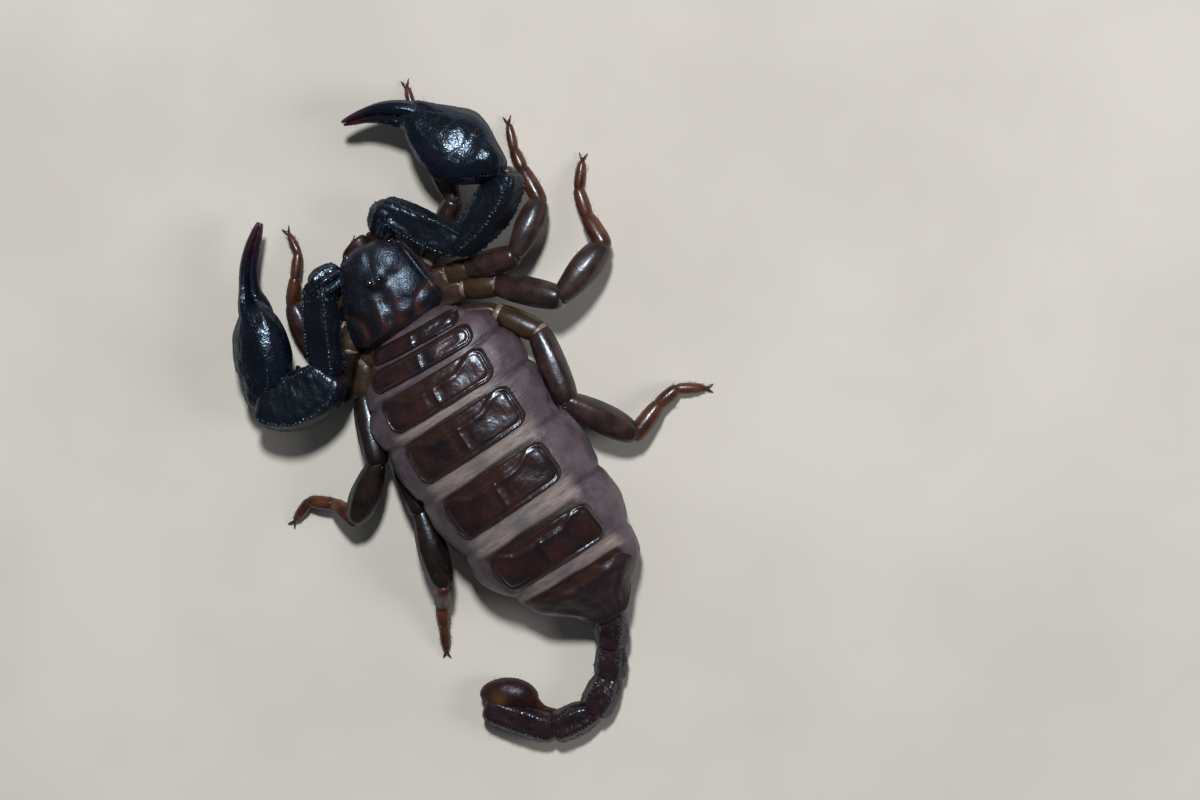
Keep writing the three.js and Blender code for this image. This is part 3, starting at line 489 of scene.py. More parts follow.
# The arms' grains are painted lighter and glossier: a painted glint.
ARM = finish(
    "claw_arm", ((0.6,), 0.3, 0.7, 0x05070D, 0x0C101C), (0.18, 0.14, (3.0, 4.0)),
    [("matt", 0.6, 0x0C0D13), ("tip", 1, 0x2E1018), ("worn", 1, 0x1A0F12), ("bead", 1, 0x1E242D)],
    [(5.0, 0.4, 0.05), ((7.0,), 0.3, 0.03), ((1.7,), 0.4, 0.14)], [("matt", 0.05), ("bead", -0.08)],
    edge=0.5, specular_ior_level=0.7, specular_tint=BLUE,
)
LEG = leg_finish("leg", 0x1E1413, 0x392824)
# A darker copy of the leg finish: painted shade for the legs on the shaded side.
LEG_PAINTED_SHADE = leg_finish("leg_painted_shade", 0x100908, 0x231812)
HIP = leg_finish("hip", 0x281B0F, 0x402E1D, 0.26)
FOOT = leg_finish("foot", 0x2C160D, 0x56321D)
CHEST = leg_finish("chest", 0x22170F, 0x3F2D20, 0.26)
JAW = leg_finish("jaw", 0x140807, 0x2E120C, 0.32, 0.4)
# The tail's grains are painted lighter: a painted glint.
TAIL = finish(
    "tail", ((0.7, 4.0), 0.3, 0.7, 0x150D10, 0x291A1D), (0.17, 0.16, (2.6, 4.0)),
    [("worn", 1, 0x2F1A11), ("bead", 0.7, 0x2A282B)], [((5.0,), 0.4, 0.06), ((1.6,), 0.6, 0.2)],
    edge=0.5, specular_ior_level=0.75, specular_tint=COOL,
)
STING = finish(
    "sting", ((0.9,), 0.3, 0.7, 0x160B0B, 0x2A1411), (0.32, 0.16, (2.6,)),
    [("pale", 1, 0x563A16), ("tip", 1, 0x35140A)], [((6.0, 4.0, 0.6), 0.4, 0.04), ((1.6,), 0.4, 0.14)],
    edge=0.3, specular_ior_level=0.36, specular_tint=COOL,
)
HINGE = hinge_finish("hinge_skin", 0x544840, 0x7A6D62)
DARK_HINGE = hinge_finish("dark_hinge_skin", 0x1C1819, 0x3A3334)
EYE = finish(
    "eye", ((3.0,), 0.3, 0.8, 0x030304, 0x0B090C), (0.1, 0.03, (4.0,)),
    specular_ior_level=0.8, coat_weight=1.0, coat_roughness=0.1,
)
HAIR = finish(
    "bristle", ((0.8,), 0.3, 0.7, 0x3E2418, 0x684430), (0.35, 0.1, (4.0,)), specular_ior_level=0.5
)
FLOOR = finish(
    "pale_floor", ((0.05,), 0.3, 0.7, 0xBFBBB4, 0xC8C4BD), (0.75, 0.1, (0.1,)), specular_ior_level=0.25
)


# ---- Curves and forms ----

def level_way(degrees):
    return Vector((cos(radians(degrees)), sin(radians(degrees)), 0))


def line(start, end):
    first, last = Vector(start), Vector(end)
    return lambda t: first.lerp(last, t)


def bent(start, middle, end):
    first, pull, last = Vector(start), Vector(middle), Vector(end)
    return lambda t: first.lerp(pull, t).lerp(pull.lerp(last, t), t)


def stretched(start, end, back, on):
    """A straight run that goes a little past both joints, so that segments nest."""
    first, last = Vector(start), Vector(end)
    ahead = (last - first).normalized()
    return line(first - ahead * back, last + ahead * on)


def bowed(start, end, back, on, bow):
    """A run like a stretched one that bulges to its side."""
    first, last = Vector(start), Vector(end)
    ahead = (last - first).normalized()
    return bent(first - ahead * back, (first + last) / 2 + ahead.cross(UP) * bow, last + ahead * on)


def arc(points):
    """A smooth curve through the points."""
    knots = [Vector(p) for p in points]
    knots = [2 * knots[0] - knots[1], *knots, 2 * knots[-1] - knots[-2]]

    def at(t):
        place = clamp(t) * (len(knots) - 3)
        i = min(int(place), len(knots) - 4)
        return through(*knots[i : i + 4], place - i)

    return at


def lofted(stations, first=0.0, last=None, depth=(1.0, 1.0), roll=0.0):
    """The spine and halves of a form whose stations give its middle and half breadth.

    depth is its height for its width, near its start and near its end. A rolled form is made
    wider, to keep its breadth seen from above.
    """
    whole = arc(stations)
    count = len(stations) - 1
    last = count if last is None else last

    def at(t):
        return whole(mix(first, last, t) / count)

    def half(t):
        share = mix(*depth, ease(t, 0.0, DEPTH_SETTLED))
        width = at(t).w / hypot(cos(roll), share * sin(roll))
        return width, width * share

    return (lambda t: at(t).xyz), half


class Form:
    """A closed rounded form along a curve, like one segment of a limb.

    half gives half its width and height at t, blunt how square its ends are, and relief how
    far its surface stands out at (t, angle). Angle 90 degrees is its upper side.
    """

    def __init__(self, spine, half, blunt=4.0, roundness=2.0, roll=0.0, relief=None):
        self.spine = spine
        self.half = half
        self.blunt = blunt
        self.roundness = roundness
        self.roll = roll
        self.relief = relief
        self.frames = {}

    def frame(self, t):
        key = round(t, 5)
        if key not in self.frames:
            ahead = (self.spine(min(t + 0.002, 1)) - self.spine(max(t - 0.002, 0))).normalized()
            side = ahead.cross(UP).normalized()
            side.rotate(Matrix.Rotation(self.roll, 3, ahead))
            dome = max(0.0, 1 - abs(2 * t - 1) ** self.blunt) ** (1 / self.blunt)
            self.frames[key] = (self.spine(t), side, side.cross(ahead), *self.half(t), dome)
        return self.frames[key]

    def point(self, t, angle):
        centre, side, top, width, height, dome = self.frame(t)
        c, s = cos(angle), sin(angle)
        across = dome * width * squared(c, self.roundness)
        up = dome * height * squared(s, self.roundness)
        place = centre + side * across + top * up
        if self.relief:
            lift = self.relief(t, angle) * dome
            place += (side * (c / width) + top * (s / height)).normalized() * lift
        return place

    def outward(self, t, angle):
        t = clamp(t, 0.02, 0.98)
        along = self.point(t + 0.01, angle) - self.point(t - 0.01, angle)
        around = self.point(t, angle + 0.02) - self.point(t, angle - 0.02)
        out = along.cross(around).normalized()
        return out if out.dot(self.point(t, angle) - self.frame(t)[0]) > 0 else -out


def new_mesh(*tones):
    bm = bmesh.new()
    for tone in tones:
        bm.verts.layers.float.new(tone)
    return bm


def paint(bm, **tones):
    """Writes each tone's value at every vertex, for its finish to read."""
    for name, tone in tones.items():
        layer = bm.verts.layers.float[name]
        for vert in bm.verts:
            vert[layer] = tone(vert.co)


def new_sphere(bm, around, along, radius=1.0, place=(0, 0, 0)):
    made = bmesh.ops.create_uvsphere(
        bm, u_segments=around, v_segments=along, radius=radius, matrix=Matrix.Translation(place)
    )
    return made["verts"]


def add_form(bm, form, around, along, **tones):
    """Adds a form's surface. Each tone gives its value at (t, angle) for the finish to read."""
    verts = new_sphere(bm, around, along)
    for vert in verts:
        t, angle = clamp((1 + vert.co.z) / 2), atan2(vert.co.y, vert.co.x)
        vert.co = form.point(t, angle)
        for name, tone in tones.items():
            vert[bm.verts.layers.float[name]] = tone(t, angle)
    return verts


def add_bead(bm, place, radius):
    """A single grain, marked where the piece has that tone, so that its finish paints a lighter glint on it.
    """
    made = bmesh.ops.create_icosphere(bm, subdivisions=1, radius=radius, matrix=Matrix.Translation(place))
    marks = bm.verts.layers.float.get("bead")
    for vert in made["verts"] if marks else ():
        vert[marks] = 1.0


def sink_bead(bm, form, t, angle, radius, depth):
    """A grain of about that radius, set into a form by a share of it."""
    size = radius * dice.uniform(0.6, 1.2)
    add_bead(bm, form.point(t, angle) - form.outward(t, angle) * size * depth, size)


def add_bead_row(bm, form, start, end, spacing, radius, wander):
    """A row of grains along a keel, from (t, angle) to (t, angle)."""
    def along(share):
        return [mix(first, last, share) for first, last in zip(start, end)]

    places = [form.point(*along(k / 12)) for k in range(13)]
    length = sum((after - before).length for before, after in zip(places, places[1:]))
    count = max(2, round(length / spacing))
    for k in range(count + 1):
        t, angle = along(clamp((k + dice.uniform(-0.3, 0.3)) / count))
        sink_bead(bm, form, t, angle + dice.uniform(-wander, wander), radius, 0.1)


def scatter_beads(bm, form, count, radius, ts, angles):
    for _ in range(count):
        t, angle = dice.uniform(*ts), dice.uniform(*angles)
        sink_bead(bm, form, t, angle, radius, 0.4)


def add_hinge(bm, joint, way, reach, size, around=28, along=20):
    """A ball of soft skin between two segments, drawn out along the limb."""
    back, on = reach
    add_form(bm, Form(line(joint - way * back, joint + way * on), lambda t: size, 2.6), around, along)


def onward(before, joint, after, least):
    """The way a limb runs through a joint; its next segment's way where it doubles back."""
    ahead = (after - joint).normalized()
    both = ahead + (joint - before).normalized()
    return both.normalized() if both.length > least else ahead


def soften(bm, verts, rounds):
    for _ in range(rounds):
        bmesh.ops.smooth_vert(bm, verts=verts, factor=0.5, use_axis_x=True, use_axis_y=True, use_axis_z=True)


def as_mesh(bm, name):
    mesh = bpy.data.meshes.new(name)
    bm.to_mesh(mesh)
    bm.free()
    return mesh


def placed(name, data):
    """A new object in the scene."""
    thing = bpy.data.objects.new(name, data)
    bpy.context.scene.collection.objects.link(thing)
    return thing


def fused(bm, voxel, rounds, *tones):
    """Joins crossing forms into one surface and softens the seams between them."""
    mesh = as_mesh(bm, "fusing")
    holder = placed("fusing", mesh)
    remesh = holder.modifiers.new("fuse", "REMESH")
    remesh.mode = "VOXEL"
    remesh.voxel_size = voxel
    joined = bmesh.new()
    joined.from_object(holder, bpy.context.evaluated_depsgraph_get())
    bpy.data.objects.remove(holder)
    bpy.data.meshes.remove(mesh)
    soften(joined, joined.verts, rounds)
    for tone in tones:
        joined.verts.layers.float.new(tone)
    return joined


def make_piece(bm, name, finishes, slot, *nodes):
    """Turns a finished shape into a piece that rides on the body in place of its CAD nodes."""
    for vert in bm.verts:
        vert.co.z = max(vert.co.z, 0.0)
    bmesh.ops.recalc_face_normals(bm, faces=bm.faces)
    for face in bm.faces:
        face.smooth = True
    mesh = as_mesh(bm, name)
    mesh.transform(Matrix.Scale(MM, 4))
    piece = placed(name, mesh)
    for surface in finishes:
        mesh.materials.append(surface)
    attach(piece, BODY)
    if nodes:
        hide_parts(*nodes)


# ---- Legs ----

def leg_joints(name):
    pair, hip, levels, headings = LEGS[name]
    joints = [Vector(hip)]
    for length, heading, level in zip(LEG_LENGTHS[pair], headings, (*levels, *ANKLE_LEVELS)):
        place = joints[-1] + level_way(heading) * sqrt(length**2 - (level - joints[-1].z) ** 2)
        joints.append(Vector((place.x, place.y, level)))
    return joints


def leg_half(size, bulk, ends, peak):
    """A segment's half width and height at t, full at its peak and less at both ends."""
    def half(t):
        swell = sin(pi * t ** (log(0.5) / log(peak)))
        share = mix(*ends, t) + (1 - mix(*ends, peak)) * swell
        return size[0] * bulk * share, size[1] * bulk * share

    return half


def leg_keels(t, angle):
    """Faint keels on the upper edges of a leg segment, under a soft grain."""
    keels = keel(angle, 62, 0.16) + keel(angle, 128, 0.16)
    return (0.03 * keels + 0.05 * grained(t, angle, 1.6, 3.5)) * sin(pi * t)


def leg_forms(name):
    joints, bulk = leg_joints(name), LEG_BULK[LEGS[name][0]]
    forms = {}
    for number, (part, (size, past, ends, peak, blunt)) in enumerate(LEG_SEGMENTS.items()):
        forms[part] = Form(
            stretched(joints[number], joints[number + 1], *past), leg_half(size, bulk, ends, peak), blunt,
            relief=leg_keels if part in ("femur", "patella") else None,
        )
    return forms


ALL_LEGS = {name: leg_forms(name) for name in LEGS}


def leg_claws(bm, name):
    """Two curved claws and the small pad between them."""
    tip, heading = leg_joints(name)[-1], LEGS[name][3][-1]
    length, radius, spread = LEG_CLAW.values()
    for side in (-1, 1):
        ahead = level_way(heading + side * spread)
        middle, end = tip + ahead * length * 0.45 + UP * 0.09, tip + ahead * length * 0.68 - UP * 0.1
        form = Form(
            bent(tip - ahead * 0.12, middle, end),
            lambda t: (radius * (1 - 0.85 * t), radius * 1.15 * (1 - 0.85 * t)), 6,
        )
        add_form(bm, form, 10, 10, tip=lambda t, angle: 0.4 + 0.6 * t)
    pad = Form(line(tip - UP * 0.02, tip + level_way(heading) * 0.16), lambda t: (0.09, 0.08), 3)
    add_form(bm, pad, 10, 8)


def make_leg(name):
    forms, joints = ALL_LEGS[name], leg_joints(name)
    bulk = LEG_BULK[LEGS[name][0]]
    # The shaded-side legs get a darker copy of the leg finish: painted shade.
    shell = LEG_PAINTED_SHADE if name in SHADE_PAINTED_LEGS else LEG

    bm = new_mesh("tip")
    hip = add_form(bm, forms["trochanter"], 36, 28, tip=lambda t, angle: 0.7 * ease(t, 0.72, 0.98))
    for vert in hip:
        for face in vert.link_faces:
            face.material_index = 1
    add_form(bm, forms["femur"], 48, 40, tip=lambda t, angle: 0.8 * ease(t, 0.8, 1.0))
    scatter_beads(bm, forms["femur"], 16, 0.04, (0.1, 0.9), (0.2, 2.9))
    make_piece(bm, f"leg_{name}_thigh", [shell, HIP], "leg", f"leg_{name}_femur")

    bm = new_mesh("tip")
    add_form(bm, forms["patella"], 48, 44,
             tip=lambda t, angle: 0.8 * (1 - ease(t, 0.0, 0.12)) + 0.6 * ease(t, 0.88, 1.0))
    scatter_beads(bm, forms["patella"], 12, 0.04, (0.1, 0.9), (0.2, 2.9))
    for degrees in (40, 140):
        add_bead(bm, forms["patella"].point(0.07, radians(degrees)), 0.11 * bulk)
    make_piece(bm, f"leg_{name}_shin", [shell], "leg", f"leg_{name}_patella")

    bm = new_mesh("tip")
    for part in ("tibia", "basitarsus", "telotarsus"):
        add_form(bm, forms[part], 32, 26, tip=lambda t, angle: 0.75 * ease(t, 0.85, 1.0))
    leg_claws(bm, name)
    make_piece(bm, f"leg_{name}_toe", [FOOT], "foot", f"leg_{name}_foot")

    bm = new_mesh()
    joints.insert(0, 2 * joints[0] - joints[1])
    for before, joint, after, (size, reach) in zip(joints, joints[1:], joints[2:], LEG_HINGES):
        way = onward(before, joint, after, 0.2)
        add_hinge(bm, joint, way, (reach, reach), (size * bulk, size * bulk * 1.08), 24, 16)
    make_piece(bm, f"leg_{name}_hinges", [HINGE], "membrane")


for leg_name in LEGS:
    make_leg(leg_name)


# ---- Prosoma ----

PROSOMA = Matrix.Translation(PROSOMA_PLACE) @ Matrix.Rotation(radians(PROSOMA_TURN), 4, "Z")
TO_PROSOMA = PROSOMA.inverted()


def in_body(x, y, z):
    return PROSOMA @ Vector((x, y, z))


def shield_half(t):
    width = mix(SHIELD_HALF_REAR, SHIELD_HALF_FRONT, max(0.0, t - 0.12) ** 1.1)
    return width, SHIELD_RISE * (1 - 0.42 * t**1.8)


SHIELD_FORM = Form(
    line(in_body(0, 0, SHIELD_EDGE), in_body(0, -SHIELD_LENGTH, SHIELD_EDGE)), shield_half, 4.6, 2.1
)


def cheek_distance(out, y):
    """How far outside the rounded furrow of the shield's rear corner a place lies."""
    return hypot(out - CHEEK_OUT, y - CHEEK_Y) - CHEEK_RADIUS


def shield_relief(x, y):
    """How far the shield's surface stands up at a place in its own frame."""
    out = abs(x)
    half = shield_half(clamp(-y / SHIELD_LENGTH))[0]
    # The eye mound, and the furrow from it to the rear edge.
    lift = 0.44 * exp(-abs(x / 0.52) ** 2.6 - abs((y - EYE_MOUND_Y) / 0.55) ** 2.4)
    lift -= 0.1 * hill(x, 0.13) * hill(y - EYE_MOUND_Y, 0.6)
    furrow = ease(-y, -0.1, 0.35) * (1 - ease(-y, 2.9, 3.5))
    aside = x - 0.12 + 0.05 * sin(2.1 * y)
    lift -= 0.12 * hill(aside, 0.4 if aside < 0 else 0.22) * furrow
    lift += 0.04 * sin(5.4 * (y + 1.95)) * hill(x - 0.12, 0.16) * furrow
    lift += 0.05 * hill(out - 0.75, 0.3) * ease(-y, 0.0, 0.5) * (1 - ease(-y, 3.0, 3.4))
    lift += 0.1 * max(0.0, y - EYE_MOUND_Y) * hill(x - 0.3, 0.5) * ease(-y, 0.0, 0.6)
    lift -= 0.05 * hill(x, 0.3) * ease(-y, 4.35, 4.9)
    # Rounded lobes on each side, with dips between them.
    lift += (0.15 if x < 0 else 0.06) * hill(out - 1.2, 0.75) * hill(y + 4.5, 0.75)
    for lobe_out, lobe_y, wide, long, height in SHIELD_LOBES:
        lift += height * hill(out - lobe_out, wide) * hill(y - lobe_y, long)
    lift -= 0.05 * hill(y + 3.5 - 0.25 * (out - 1.2), 0.35) * ease(out, 0.55, 1.0) * (1 - ease(out, 1.9, 2.5))
    cheek = hill(cheek_distance(out, y), 0.2)
    lift -= 0.08 * cheek * ease(CHEEK_OUT - out, -0.2, 0.4) * ease(-y, 0.25, 0.7)
    # The thin raised rim along the side and rear edges.
    side = half - out
    lift += 0.07 * hill(side - 0.14, 0.07) - 0.07 * hill(side - 0.3, 0.09)
    lift += (0.07 * hill(-y - 0.1, 0.06) - 0.06 * hill(-y - 0.26, 0.1)) * (1 - ease(out, half - 0.7, half))
    return lift + 0.045 * rough(x, y, 1.1, 3.0) + 0.012 * rough(x, y, 2.8, 9.0)


def settle(point):
    """Gives a point of the shield its relief, its slanted rear edge and its flat underside."""
    local = TO_PROSOMA @ point
    front = ease(-local.y, SHIELD_LENGTH - 0.9, SHIELD_LENGTH)
    rise = local.z - SHIELD_EDGE
    if rise > 0:
        local.z += shield_relief(local.x, local.y) * ease(rise, 0.1, 0.8)
    else:
        local.z = SHIELD_EDGE
    local.y += (0.1 * hill(local.x, 0.5) + 0.1 * local.x**2) * front
    local.y += (0.02 + 0.19 * local.x) * ease(local.y, -2.6, 0.0)
    return PROSOMA @ local


def shield_rim(point):
    local = TO_PROSOMA @ point
    return 0.8 * (1 - ease(local.z - SHIELD_EDGE, 0.1, 0.5))


def shield_ruddy(point):
    local = TO_PROSOMA @ point
    x, y = abs(local.x), local.y
    patch = 0.85 * hill(cheek_distance(x, y), 0.24) * ease(-y, 0.0, 0.6)
    patch += hill(x - 0.6, 0.36) * hill(y + 0.75, 0.5) + 0.5 * hill(x - 0.7, 0.3) * hill(y + 2.0, 0.6)
    patch += 0.8 * ease(-y, SHIELD_LENGTH - 0.4, SHIELD_LENGTH)
    return clamp(patch * (0.75 + 0.6 * noise.noise(local * 1.3)))


def make_shield():
    bm = new_mesh("ruddy", "rim", "bead")
    for vert in new_sphere(bm, *SHIELD_MESH):
        t = mix((1 + vert.co.z) / 2, acos(clamp(-vert.co.z, -1)) / pi, 0.5)
        vert.co = settle(SHIELD_FORM.point(t, atan2(vert.co.y, vert.co.x)))
    paint(bm, ruddy=shield_ruddy, rim=shield_rim)
    for left in (True, False):
        for _ in range(110):
            t, angle = dice.uniform(0.06, 0.95), radians(dice.uniform(8, 66))
            place = settle(SHIELD_FORM.point(t, angle if left else pi - angle))
            add_bead(bm, place - UP * 0.02, dice.uniform(0.03, 0.055))
    make_piece(bm, "carapace_shield", [SHIELD], "shield", "carapace")


def make_eyes():
    for name, sign in (("right", -1), ("left", 1)):
        bm = new_mesh()
        place = in_body(sign * MEDIAN_EYE["apart"] / 2, EYE_MOUND_Y, MEDIAN_EYE["level"])
        new_sphere(bm, 48, 32, MEDIAN_EYE["radius"], place)
        make_piece(bm, f"eye_{name}", [EYE], "eye", f"eye_median_{name}")
    bm = new_mesh()
    for left in (True, False):
        for t, degrees, radius in LATERAL_EYES:
            place = settle(SHIELD_FORM.point(t, radians(degrees if left else 180 - degrees)))
            new_sphere(bm, 24, 16, radius, place - UP * radius * 0.2)
    make_piece(bm, "eyes_lateral", [EYE], "eye")


def make_jaw(name, sign):
    """A jaw: its rounded base, and two hooked fingers that fold down under it."""
    x, rear, front, half, height, level = CHELICERA.values()
    bm = new_mesh("tip")
    base = Form(
        line(in_body(sign * x * 0.9, rear, level), in_body(sign * x, front, level)),
        lambda t: (half, height * (1.1 - 0.15 * t)), 7, 2.5,
    )
    add_form(bm, base, 56, 44, tip=lambda t, angle: -0.5 * t)
    for shift, lead, thick in ((-0.34, 0.0, 0.25), (0.24, 0.1, 0.27)):
        finger = Form(
            bent(in_body(sign * (x + shift), front + 0.6, level - 0.3),
                 in_body(sign * (x + shift * 0.9), front + 0.05 - lead, level - 0.35),
                 in_body(sign * (x + shift * 0.25 - 0.05), front + 0.15 - lead, level - 1.05)),
            lambda t, thick=thick: (thick * (1 - 0.72 * t), thick * (1 - 0.68 * t)), 5,
        )
        add_form(bm, finger, 24, 22, tip=lambda t, angle: ease(t, 0.3, 0.9))
    for k in range(4):
        add_bead(bm, in_body(sign * (x - 0.1), front - 0.08 - 0.03 * k, level - 0.35 - 0.14 * k), 0.06)
    for vert in bm.verts:
        local = TO_PROSOMA @ vert.co
        local.y += 0.19 * local.x**2 * ease(-local.y, 4.6, 5.6)
        local.z += 0.05 * noise.noise(local * 1.7)
        vert.co = PROSOMA @ local
    make_piece(bm, f"jaw_{name}", [JAW], "shield", f"chelicera_{name}")


def make_chest():
    """The leg bases, the sternum between them and the mouth lobes, seen from below."""
    front, rear, half_front, half_rear, half, middle = STERNUM.values()
    bases = []
    for name in LEGS:
        hip = leg_joints(name)[0]
        local = TO_PROSOMA @ hip
        bases.append(Form(
            line(in_body(0.3 * local.x, 0.55 * local.y - 0.5, middle + 0.1), hip),
            lambda t: (COXA_HALF * mix(0.82, 0.84, t), COXA_HALF * mix(0.78, 0.86, t)), 5, 2.3,
        ))
    for pose in PEDIPALPS.values():
        root = in_body(pose["side"] * 0.9, -3.2, middle)
        bases.append(Form(line(root, pose["shoulder"]), lambda t: (0.82, 0.72), 4, 2.4))
    bm = new_mesh("tip")
    for base in bases:
        add_form(bm, base, 36, 30, tip=lambda t, angle: 0.5 * (1 - ease(t, 0.0, 0.2)))
    core = Form(
        line(in_body(0, rear, middle + 0.1), in_body(0, front, middle + 0.1)),
        lambda t: (mix(half_rear, half_front, t), half), 5, 3,
    )
    add_form(bm, core, 60, 50)
    # The sternum, and the two genital plates behind it.
    shield = Form(
        line(in_body(0, 1.1, 1.2), in_body(0, -0.7, 1.2)),
        lambda t: (mix(0.78, 0.5, ease(t, 0.45, 1)), 0.36), 5, 3,
    )
    add_form(bm, shield, 40, 30)
    for sign in (-1, 1):
        spine = line(in_body(sign * 0.42, 2.0, 1.2), in_body(sign * 0.36, 1.15, 1.2))
        add_form(bm, Form(spine, lambda t: (0.42, 0.34), 3), 28, 20)
    for vert in bm.verts:
        vert.co.z = min(vert.co.z, SHIELD_EDGE - 0.02)
    make_piece(bm, "chest", [CHEST], "leg", "coxosternum")


make_shield()
make_eyes()
make_jaw("right", -1)
make_jaw("left", 1)
make_chest()


# ---- Mesosoma ----

def row_at(y):
    """The number of the ring at y, or the place between two rings."""
    levels = TRUNK_RINGS["y"]
    for i, (before, after) in enumerate(zip(levels, levels[1:])):
        if y <= after:
            return i + max(0.0, y - before) / (after - before)
    return len(levels) - 1.0


def ring_value(key, row):
    """The rings' value joined by a smooth curve."""
    values = TRUNK_RINGS[key]
    last = len(values) - 1
    i = min(int(row), last)
    return through(*(values[int(clamp(i + k, 0, last))] for k in (-1, 0, 1, 2)), row - i)


SECTIONS = {}


def trunk_section(y):
    """The trunk at y: its middle, half width, rise above and drop below its widest level, how
    far its end has rounded off, and how far y is from the nearest fold."""
    key = round(y, 3)
    if key not in SECTIONS:
        row = row_at(y)
        centre = (TRUNK_FRONT + TRUNK_REAR) / 2
        endwise = min(1.0, abs(y - centre) / ((TRUNK_REAR - TRUNK_FRONT) / 2))
        SECTIONS[key] = (
            ring_value("middle", row),
            ring_value("half", row) - TRUNK_FOLD_DEPTH * sin(pi * row) ** 2,
            ring_value("top", row) - TRUNK_WIDEST_LEVEL,
            TRUNK_WIDEST_LEVEL - TRUNK_KEEL_LEVEL,
            (1 - endwise**9) ** (1 / 3),
            abs(remainder(row + 0.5, 1.0)),
        )
    return SECTIONS[key]


def trunk_level(x, y, grow, below=False):
    """The level of the trunk's upper or lower surface, grown by a thickness."""
    middle, half, rise, drop, dome, _ = trunk_section(y)
    share = min(1.0, abs(x - middle) / (dome * (half + grow)))
    height = dome * (1 - share**TRUNK_ROUNDNESS) ** (1 / TRUNK_ROUNDNESS)
    if below:
        return max(TRUNK_WIDEST_LEVEL - height * (drop + grow), BELLY_LEVEL - grow)
    return TRUNK_WIDEST_LEVEL + height * (rise + grow)


def in_plate(plate, x, y):
    """A place in a plate's own directions: across it, and fore and aft."""
    way = level_way(plate.turn)
    dx, dy = x - plate.x, y - plate.y
    return dx * way.x + dy * way.y, dy * way.x - dx * way.y


def between_plates(x, y):
    """Where a place lies between two back plates.

    How far it is from the one ahead to the one behind, how far out, how wide the gap is and
    its place across it.
    """
    for before, after in zip(TERGITES, TERGITES[1:]):
        across, back = in_plate(before, x, y)
        behind = back - before.along / 2
        ahead = -after.along / 2 - in_plate(after, x, y)[1]
        if behind > -0.3 and ahead > -0.3:
            share = clamp((behind + 0.001) / max(behind + ahead, 0.05))
            width = mix(before.across, after.across, share) / 2
            return share, abs(across) / width, behind + ahead, across
    return None


def skin_band(point):
    """The pale skin behind each back plate."""
    place = between_plates(point.x, point.y)
    if point.z < BACK_LEVEL or not place:
        return 0.0
    share, out, room, _ = place
    fore_and_aft = ease(share, -0.05, 0.08) * (1 - ease(share, 0.76, 0.96))
    return fore_and_aft * (1 - ease(out, 0.88, 1.12)) * ease(room, 0.2, 0.6)


def skin_brown(point):
    """The dark sloping front part of each back plate, and the skin round the last one."""
    rear = 0.95 * ease(point.y, 8.3, 9.6)
    place = between_plates(point.x, point.y)
    if point.z < BACK_LEVEL or not place:
        return rear
    share, out, room, across = place
    wedge = 0.74 + 0.16 * ease(across, -0.5, 3.4) + 0.08 * noise.noise(Vector((across * 0.6, point.y, 1.0)))
    brown = ease(share, wedge - 0.06, wedge + 0.14)
    return max(rear, brown * (1 - ease(out, 0.86, 0.98)) * ease(room, 0.2, 0.5))


def skin_heart(point):
    """The darker line along the middle of the back."""
    place = between_plates(point.x, point.y)
    if point.z < HEART_LEVEL or not place:
        return 0.0
    share, _, room, across = place
    return hill(share - 0.45, 0.35) * hill(across, 0.75) * ease(room, 0.4, 1.2)


# Painted shade: the flank skin darker towards the bottom.
def skin_low_shade(point):
    return 1 - ease(point.z, 1.2, 3.3)


def skin_fold_shade(point):
    """Painted shade in the folds of the flanks."""
    fold = trunk_section(clamp(point.y, TRUNK_FRONT, TRUNK_REAR))[5]
    side = ease(abs(point.x - trunk_section(point.y)[0]), 3.3, 4.6)
    return 0.6 * hill(min(0.5, fold) * 3.4, 0.16) * side


def leg_rods():
    """The upper leg segments that stand clear of the skin, as rods that it gives way to."""
    rods = []
    for name, forms in ALL_LEGS.items():
        for part in ("trochanter", "femur", "patella"):
            if part == "trochanter" and name in SHADE_PAINTED_LEGS:
                continue
            spine, half = forms[part].spine, forms[part].half
            rods.append((spine(0.0), spine(1.0), max(half(0.5)) + SKIN_INSET))
    return rods


def deepest(rods, place):
    """How far a place lies inside the nearest rod."""
    most = 0.0
    for start, end, radius in rods:
        along = end - start
        share = clamp((place - start).dot(along) / along.length_squared)
        most = max(most, radius - (place - start - along * share).length)
    return most


def skin_point(y, angle):
    middle, half, rise, drop, dome, fold = trunk_section(y)
    side = abs(cos(angle))
    pleat = 0.16 * hill(fold * 3.4, 0.22) * ease(side, 0.45, 0.8)
    ripple = 0.035 * noise.noise(Vector((angle * 7.0, y * 0.9, 2.0))) * ease(side, 0.3, 0.8)
    ripple += 0.02 * grained(y, angle, 5, 2.5)
    give = SKIN_INSET + pleat - min(ripple, SKIN_INSET)
    across = dome * (half - give) * squared(cos(angle), TRUNK_ROUNDNESS)
    share = squared(sin(angle), TRUNK_ROUNDNESS)
    level = TRUNK_WIDEST_LEVEL + dome * share * ((rise if share > 0 else drop) - give)
    return Vector((middle + across, y, level))


